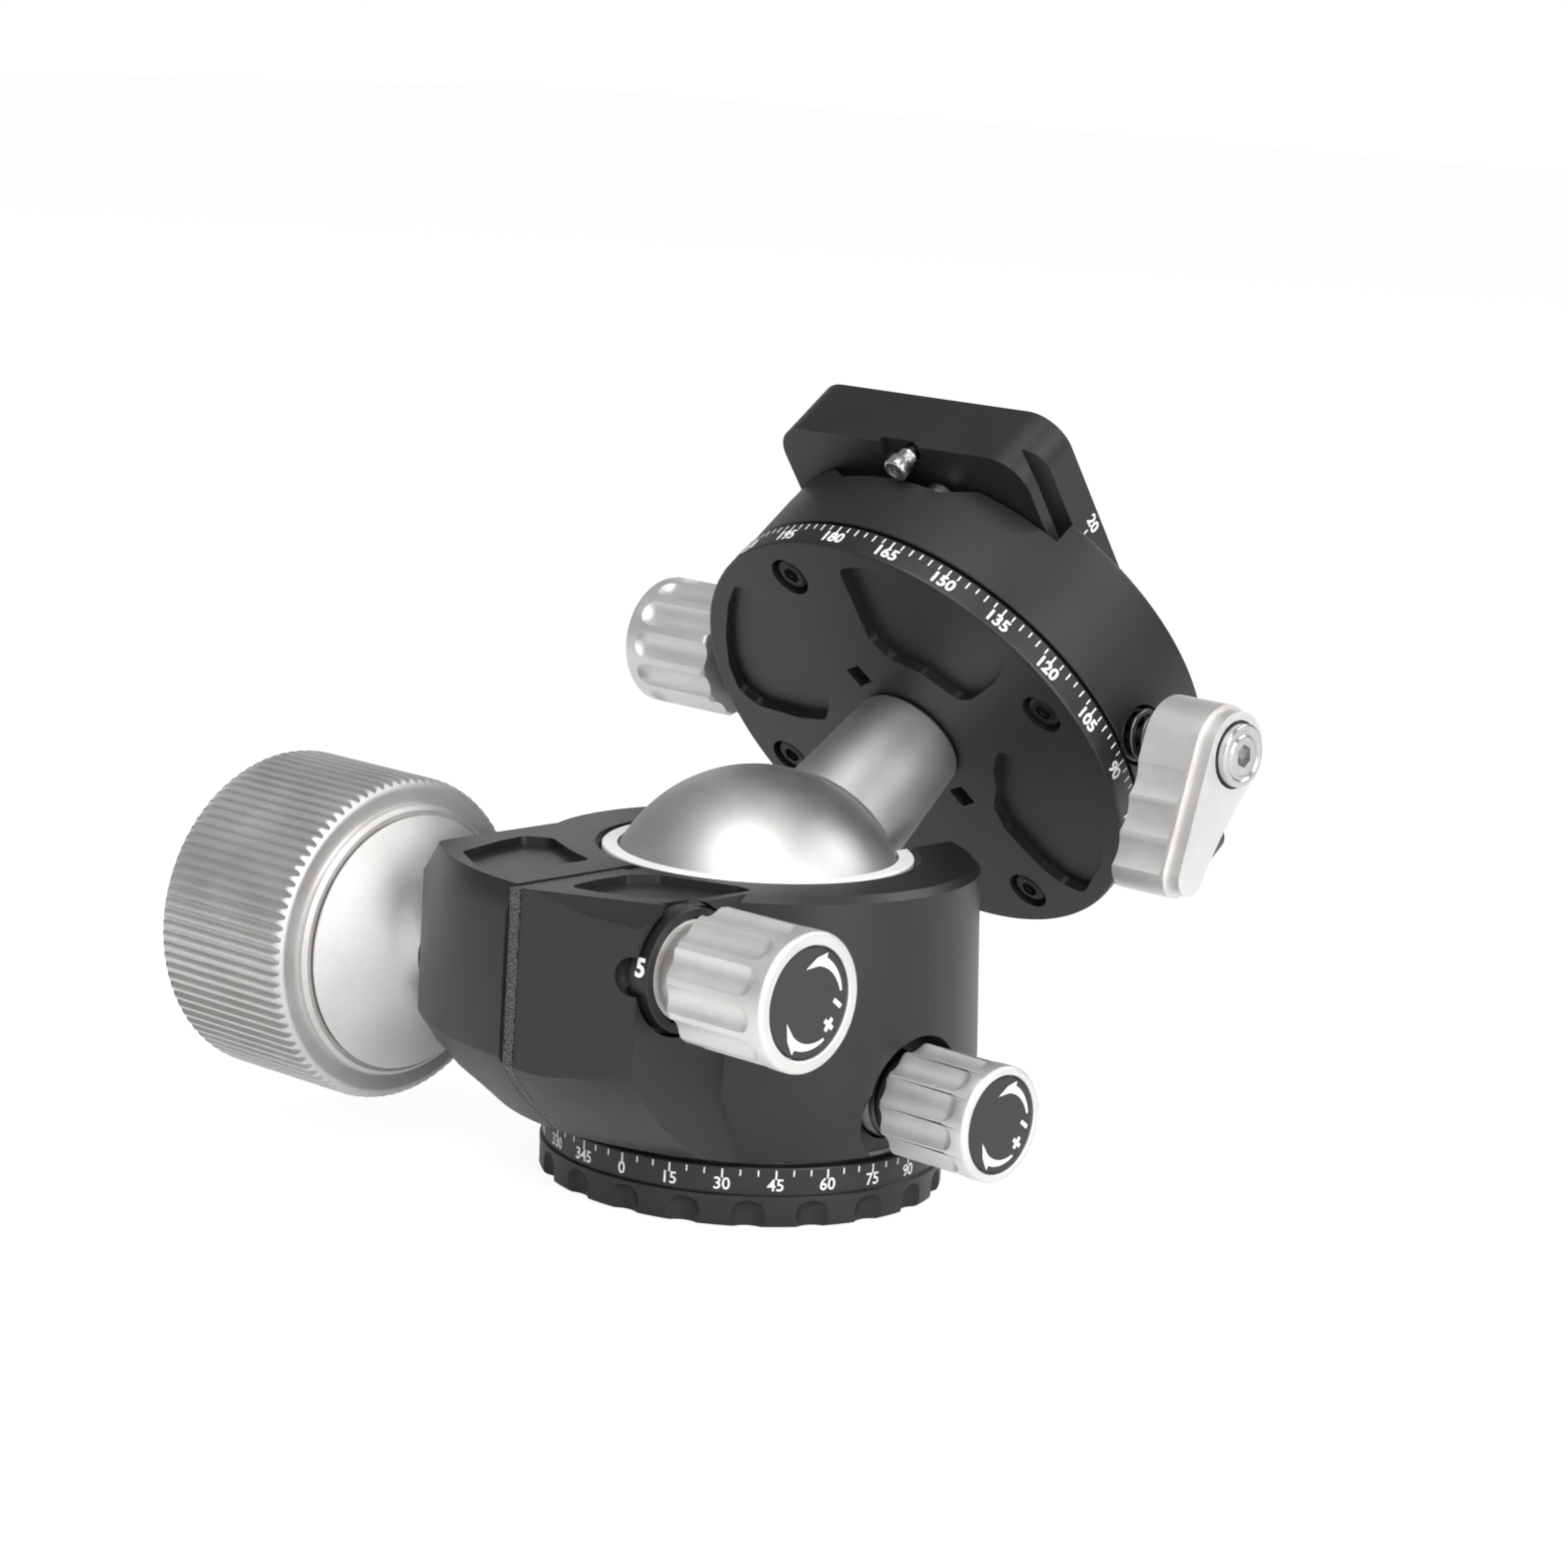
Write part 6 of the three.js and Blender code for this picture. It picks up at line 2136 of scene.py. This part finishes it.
@dataclass
class CameraPlate(Part):
    """Quick-release plate with its pad, stop screws and camera screw."""

    place = STEM_FRAME
    body = "camera_plate"
    width: float = 38.0
    long: float = 70.0
    foot: float = 47.65
    top: float = 56.35
    shift: float = 2.2
    corner: float = 4.6
    shoulder: float = 49.2
    apex: float = 50.7
    apex_edge: float = 0.1
    lip: float = 51.9
    apex_half: float = 17.0
    pad_wide: float = 30.0
    pad_long: float = 60.0
    pad_thick: float = 1.0
    pad_room: float = 7.0
    ribs: int = 28
    rib_step: float = 2.0
    rib_half: float = 13.0
    stop_inset: float = 1.3
    stop_side: float = 2.2
    stop_head: float = 1.55
    screw_head: float = 6.0
    screw_crest: float = 3.1
    screw_pitch: float = 1.27
    screw_rise: float = 4.8
    thread_depth: float = 0.55
    mark_step: int = 5
    mark_reach: int = 20
    number_height: float = 1.5

    def plan(self, width: float, long: float) -> list[Point]:
        """Rounded rectangle about the plate's middle.

        Args:
            width: its width.
            long: its length.

        Returns:
            Its corners.
        """
        corner = self.corner
        x, y = width / 2 - corner, long / 2 - corner
        corners = ((x, y, 0), (-x, y, 90), (-x, -y, 180), (x, -y, 270))
        return [point for cx, cy, turn in corners
                for point in arc(corner, turn, turn + 90, 10, (cx, cy + self.shift))]

    def stops(self) -> list[Point]:
        """Places of the stop screws."""
        reach = self.long / 2 - self.stop_inset
        return [(self.stop_side, self.shift - reach), (-self.stop_side, self.shift + reach)]

    def notch(self, at: Point) -> Shape:
        """Shallow notch in the plate's end round a stop screw.

        Args:
            at: the screw's axis in plan.

        Returns:
            The cutter.
        """
        (x, y), side = at, 1 if at[1] > 0 else -1
        ends = sorted((y - side, y + 3 * side))
        return Bench.block((min(x - 1.6, -x), ends[0], self.foot - OVERRUN),
                           (max(x + 1.6, -x), ends[1], self.foot + 0.9))

    def bar(self) -> Shape:
        """Bar with dovetail grooves, a pad seat and screw holes.

        Returns:
            The new object.
        """
        half, low, high = self.width / 2, self.shift - self.long / 2, self.shift + self.long / 2
        below, above, middle = self.foot - OVERRUN, self.top + OVERRUN, (0, self.shift)
        right = [(half, self.foot), (half, self.shoulder), (self.apex_half, self.apex - self.apex_edge),
                 (self.apex_half, self.apex + self.apex_edge), (half, self.lip), (half, self.top)]
        bar = Bench.drawn([*right, *((-x, z) for x, z in reversed(right))], low, high)
        Bench.combined(bar, Bench.raised(self.plan(self.width, self.long), below, above), how=Join.SHARE)
        seat = Bench.raised(self.plan(self.pad_wide + 2 * GAP, self.pad_long + 2 * GAP),
                            self.top - self.pad_thick, above)
        Bench.combined(seat, Bench.bar(self.pad_room - GAP, self.foot, self.top + 2, middle))
        Bench.combined(bar, seat, Bench.bar(self.screw_crest + GAP, below, above, middle),
                       Bench.bar(self.screw_head + GAP, below, self.foot + 3.2, middle))
        for at in self.stops():
            Bench.combined(bar, Bench.bar(1.0, below, self.foot + 3.3, at, 24), self.notch(at))
        return Bench.eased(bar, 0.3, 3, 30)

    def pad(self) -> Shape:
        """Rubber pad with rows of shallow ribs, open round the camera screw.

        Returns:
            The new object.
        """
        top, half = self.top + GAP, self.rib_half
        sheet = Bench.raised(self.plan(self.pad_wide, self.pad_long), top - self.pad_thick, top)
        Bench.combined(sheet, Bench.bar(self.pad_room, self.foot, top + OVERRUN, (0, self.shift)))
        rows = (self.shift - 27 + self.rib_step * i for i in range(self.ribs))
        grooves = [Bench.block((-half, y, top - 0.25), (half, y + 0.5, top + OVERRUN))
                   for y in rows if abs(y + 0.25 - self.shift) > self.pad_room + 1]
        Bench.combined(sheet, Bench.joined(*grooves))
        return Bench.eased(sheet, 0.1, 2)

    def stop_screw(self, at: Point) -> Shape:
        """Small socket-head stop screw.

        Args:
            at: its axis in plan.

        Returns:
            The new object.
        """
        top, head = self.foot - GAP, self.stop_head
        low, end = top - 3.0, self.foot + 3
        thread = [point for i in range(4)
                  for point in ((1.15, low + 1.7 + 0.3 * i), (0.95, low + 1.85 + 0.3 * i))]
        screw = Bench.turned([
            (0, low), (head - 0.25, low), (head, low + 0.25), (head, low + 1.5), (head - 0.1, low + 1.6),
            *thread, (1.15, top), (0.7, top), (0.7, end), (0, end)], 40)
        Bench.socketed(screw, 0.85, low - OVERRUN, low + 1.1)
        return Bench.moved(Bench.eased(screw, 0.06, 2), shift_by(*at))

    def camera_screw(self) -> Shape:
        """Camera screw with its slot and thread.

        Returns:
            The new object.
        """
        foot, top, head = self.foot + GAP, self.top + self.screw_rise, self.screw_head
        shoulder, crest, root = foot + 2.6, self.screw_crest, self.screw_crest - self.thread_depth
        thread, height = [], self.top - 1.0
        while height + self.screw_pitch < top - 0.3:
            thread += [(crest, height), (root, height + 0.63)]
            height += self.screw_pitch
        screw = Bench.turned([
            (0, foot), (head - 0.3, foot), (head, foot + 0.3), (head, shoulder - 0.2), (head - 0.2, shoulder),
            (root, shoulder), (root, self.top - 1.5), *thread, (crest - 0.5, top - 0.3), (crest - 0.8, top),
            (0, top)], 64)
        Bench.combined(screw, Bench.block((-head - 1, -0.7, foot - OVERRUN), (head + 1, 0.7, foot + 1.3)))
        return Bench.moved(Bench.eased(screw, 0.08, 1), shift_by(0, self.shift))

    def scale(self) -> Shape:
        """Ticks and numbers along both side faces, 20 mm each way from the middle.

        Returns:
            The marks as one object.
        """
        marks, height, reach = [], (self.lip + self.top) / 2, self.mark_reach
        for side in (1, -1):
            out = Vector((side, 0, 0))
            for along in range(-reach, reach + 1, self.mark_step):
                spot = Vector((side * (self.width / 2 + 0.008), self.shift + along, height - 1.4))
                place = frame_along(out, UP, spot) @ turn_about("Z", 180)
                marks.append(Bench.moved(Marks.tick(0.7 if along % 10 else 1.1, 0.22), place))
                if along % 10 == 0:
                    over = frame_along(out, UP, spot + UP * 2.2)
                    marks.append(Marks.number(str(abs(along)), self.number_height, over))
        return Bench.joined(*marks)

    def build(self) -> None:
        """Model and dress the camera plate."""
        self.put(self.bar(), BLACK, "camera_plate")
        self.put(self.pad(), RUBBER, "plate_pad")
        self.put(self.scale(), PAINT, "camera_plate_scale", solid=False)
        for i, at in enumerate(self.stops()):
            self.put(self.stop_screw(at), STEEL, f"stop_screw_{i + 1}")
        self.put(self.camera_screw(), STEEL, "camera_screw")


class InnerPieces:
    """Solids inside the head that keep their own shape and get a finish."""

    def build(self) -> None:
        """Dress each kept solid."""
        kept = {
            WHITE: ["pan_thrust_washer", "lower_seat", "drum_thrust_washer"],
            SILVER: ["pan_spindle", "pan_post"],
            BLACK: ["spindle_ring"],
            SPRING: ["seat_spring", "jaw_spring"],
            BRASS: ["friction_plunger", "pan_lock_shoe", "drum_lock_shoe"],
            STEEL: ["clamp_nut", "clamp_screw", "friction_screw", "pan_lock_screw", "drum_retainer",
                             "centre_screw", "pull_rod", "drum_lock_screw"],
        }
        for finish, nodes in kept.items():
            for node in nodes:
                piece = bpy.data.objects[node]
                piece.data.materials.clear()
                piece.data.materials.append(finish.made())
                LOG.info("%s keeps its solid", node)


# Studio


@dataclass(frozen=True)
class Lamp:
    """Rectangular soft lamp: its place and size in metres, and its power in watts."""

    name: str
    place: Corner
    size: Point
    watts: float


@dataclass
class Studio:
    """Pale floor, white surroundings, soft lamps and the camera."""

    camera_place: Corner = (0.3202, -0.3562, 0.13807)
    azimuth: float = 131.65
    pitch: float = -10.853
    roll: float = 3.427
    lens: float = 97.08
    floor_size: float = 6
    floor_drop: float = 0.0002
    floor_level: float = 0.93
    floor_glow: float = 1.25
    floor_seen: float = 0.72
    floor_mirrored: float = 0.3
    sky: float = 0.3
    aim: Corner = (0, 0.015, 0.04)
    lamps: tuple[Lamp, ...] = (
        Lamp("key", (0.2, -0.45, 0.88), (0.7, 0.7), 7.5),
        Lamp("fill", (0.5, -0.85, 0.3), (0.6, 0.5), 2.5),
        Lamp("side", (0.9, -0.1, 0.35), (0.45, 0.6), 6),
        Lamp("back", (0.45, 0.62, 0.7), (0.5, 0.4), 3.5),
        Lamp("low", (-0.65, 0.75, 0.28), (0.6, 0.3), 0.5))

    def camera(self) -> None:
        """Camera at the photograph's angle."""
        turn, rise, roll = (math.radians(v) for v in (self.azimuth, self.pitch, self.roll))
        ahead = Vector((math.cos(rise) * math.cos(turn), math.cos(rise) * math.sin(turn), math.sin(rise)))
        right = ahead.cross(UP).normalized()
        over = right.cross(ahead)
        tilted = right * math.cos(roll) + over * math.sin(roll)
        above = over * math.cos(roll) - right * math.sin(roll)
        data = bpy.data.cameras.new("camera")
        data.lens, data.sensor_width, data.clip_start = self.lens, 36, 0.01
        camera = bpy.data.objects.new("camera", data)
        basis = Matrix((tilted, above, -ahead)).transposed().to_4x4()
        camera.matrix_world = Matrix.Translation(self.camera_place) @ basis
        bpy.context.scene.collection.objects.link(camera)
        bpy.context.scene.camera = camera

    def floor(self) -> None:
        """Wide pale floor that shows white to the camera and keeps the shadow."""
        Bench.clear()
        bpy.ops.mesh.primitive_plane_add(size=self.floor_size, location=(0, 0, -self.floor_drop))
        floor = bpy.context.object
        floor.name = "floor"
        material = bpy.data.materials.new("floor")
        shader = Shader(material, "ShaderNodeOutputMaterial")
        surface = shader.node("ShaderNodeBsdfPrincipled", {}, {
            "Base Color": (*grey(self.floor_level), 1), "Roughness": 0.9, "Specular IOR Level": 0.1})
        glow = shader.node("ShaderNodeEmission", {}, {"Strength": self.floor_glow})
        seen = shader.seen("Is Camera Ray") * self.floor_seen
        mirrored = shader.seen("Is Glossy Ray") * self.floor_mirrored
        shader.mixed(seen + mirrored, surface, glow)
        floor.data.materials.append(material)

    def world(self) -> None:
        """White behind the head, softer white light on it."""
        world = bpy.data.worlds.new("studio")
        bpy.context.scene.world = world
        shader = Shader(world, "ShaderNodeOutputWorld")
        sky, white = (shader.node("ShaderNodeBackground", {}, {"Color": (1, 1, 1, 1), "Strength": strength})
                      for strength in (self.sky, 1.0))
        shader.mixed(shader.seen("Is Camera Ray"), sky, white)

    def light(self, lamp: Lamp) -> None:
        """Hang a lamp so that it faces the head.

        Args:
            lamp: the lamp.
        """
        data = bpy.data.lights.new(lamp.name, "AREA")
        data.shape, data.size, data.size_y, data.energy = "RECTANGLE", *lamp.size, lamp.watts
        piece = bpy.data.objects.new(lamp.name, data)
        aim = Vector(self.aim) - Vector(lamp.place)
        turned = aim.to_track_quat("-Z", "Y").to_matrix().to_4x4()
        piece.matrix_world = Matrix.Translation(lamp.place) @ turned
        bpy.context.scene.collection.objects.link(piece)

    def build(self) -> None:
        """Set up the whole studio."""
        self.camera()
        self.floor()
        self.world()
        for lamp in self.lamps:
            self.light(lamp)
        bpy.context.scene.view_settings.view_transform = "Standard"


def main() -> None:
    """Build the studio and every sub-assembly."""
    Studio().build()
    for part in (Base(), Housing(), MainKnob(), FrictionControl(), PanLock(), StemAndPlate(), Drum(),
                 DrumLock(), Lever(), CameraPlate(), InnerPieces()):
        LOG.info("building %s", type(part).__name__)
        part.build()
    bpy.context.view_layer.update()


if __name__ == "__main__":
    main()
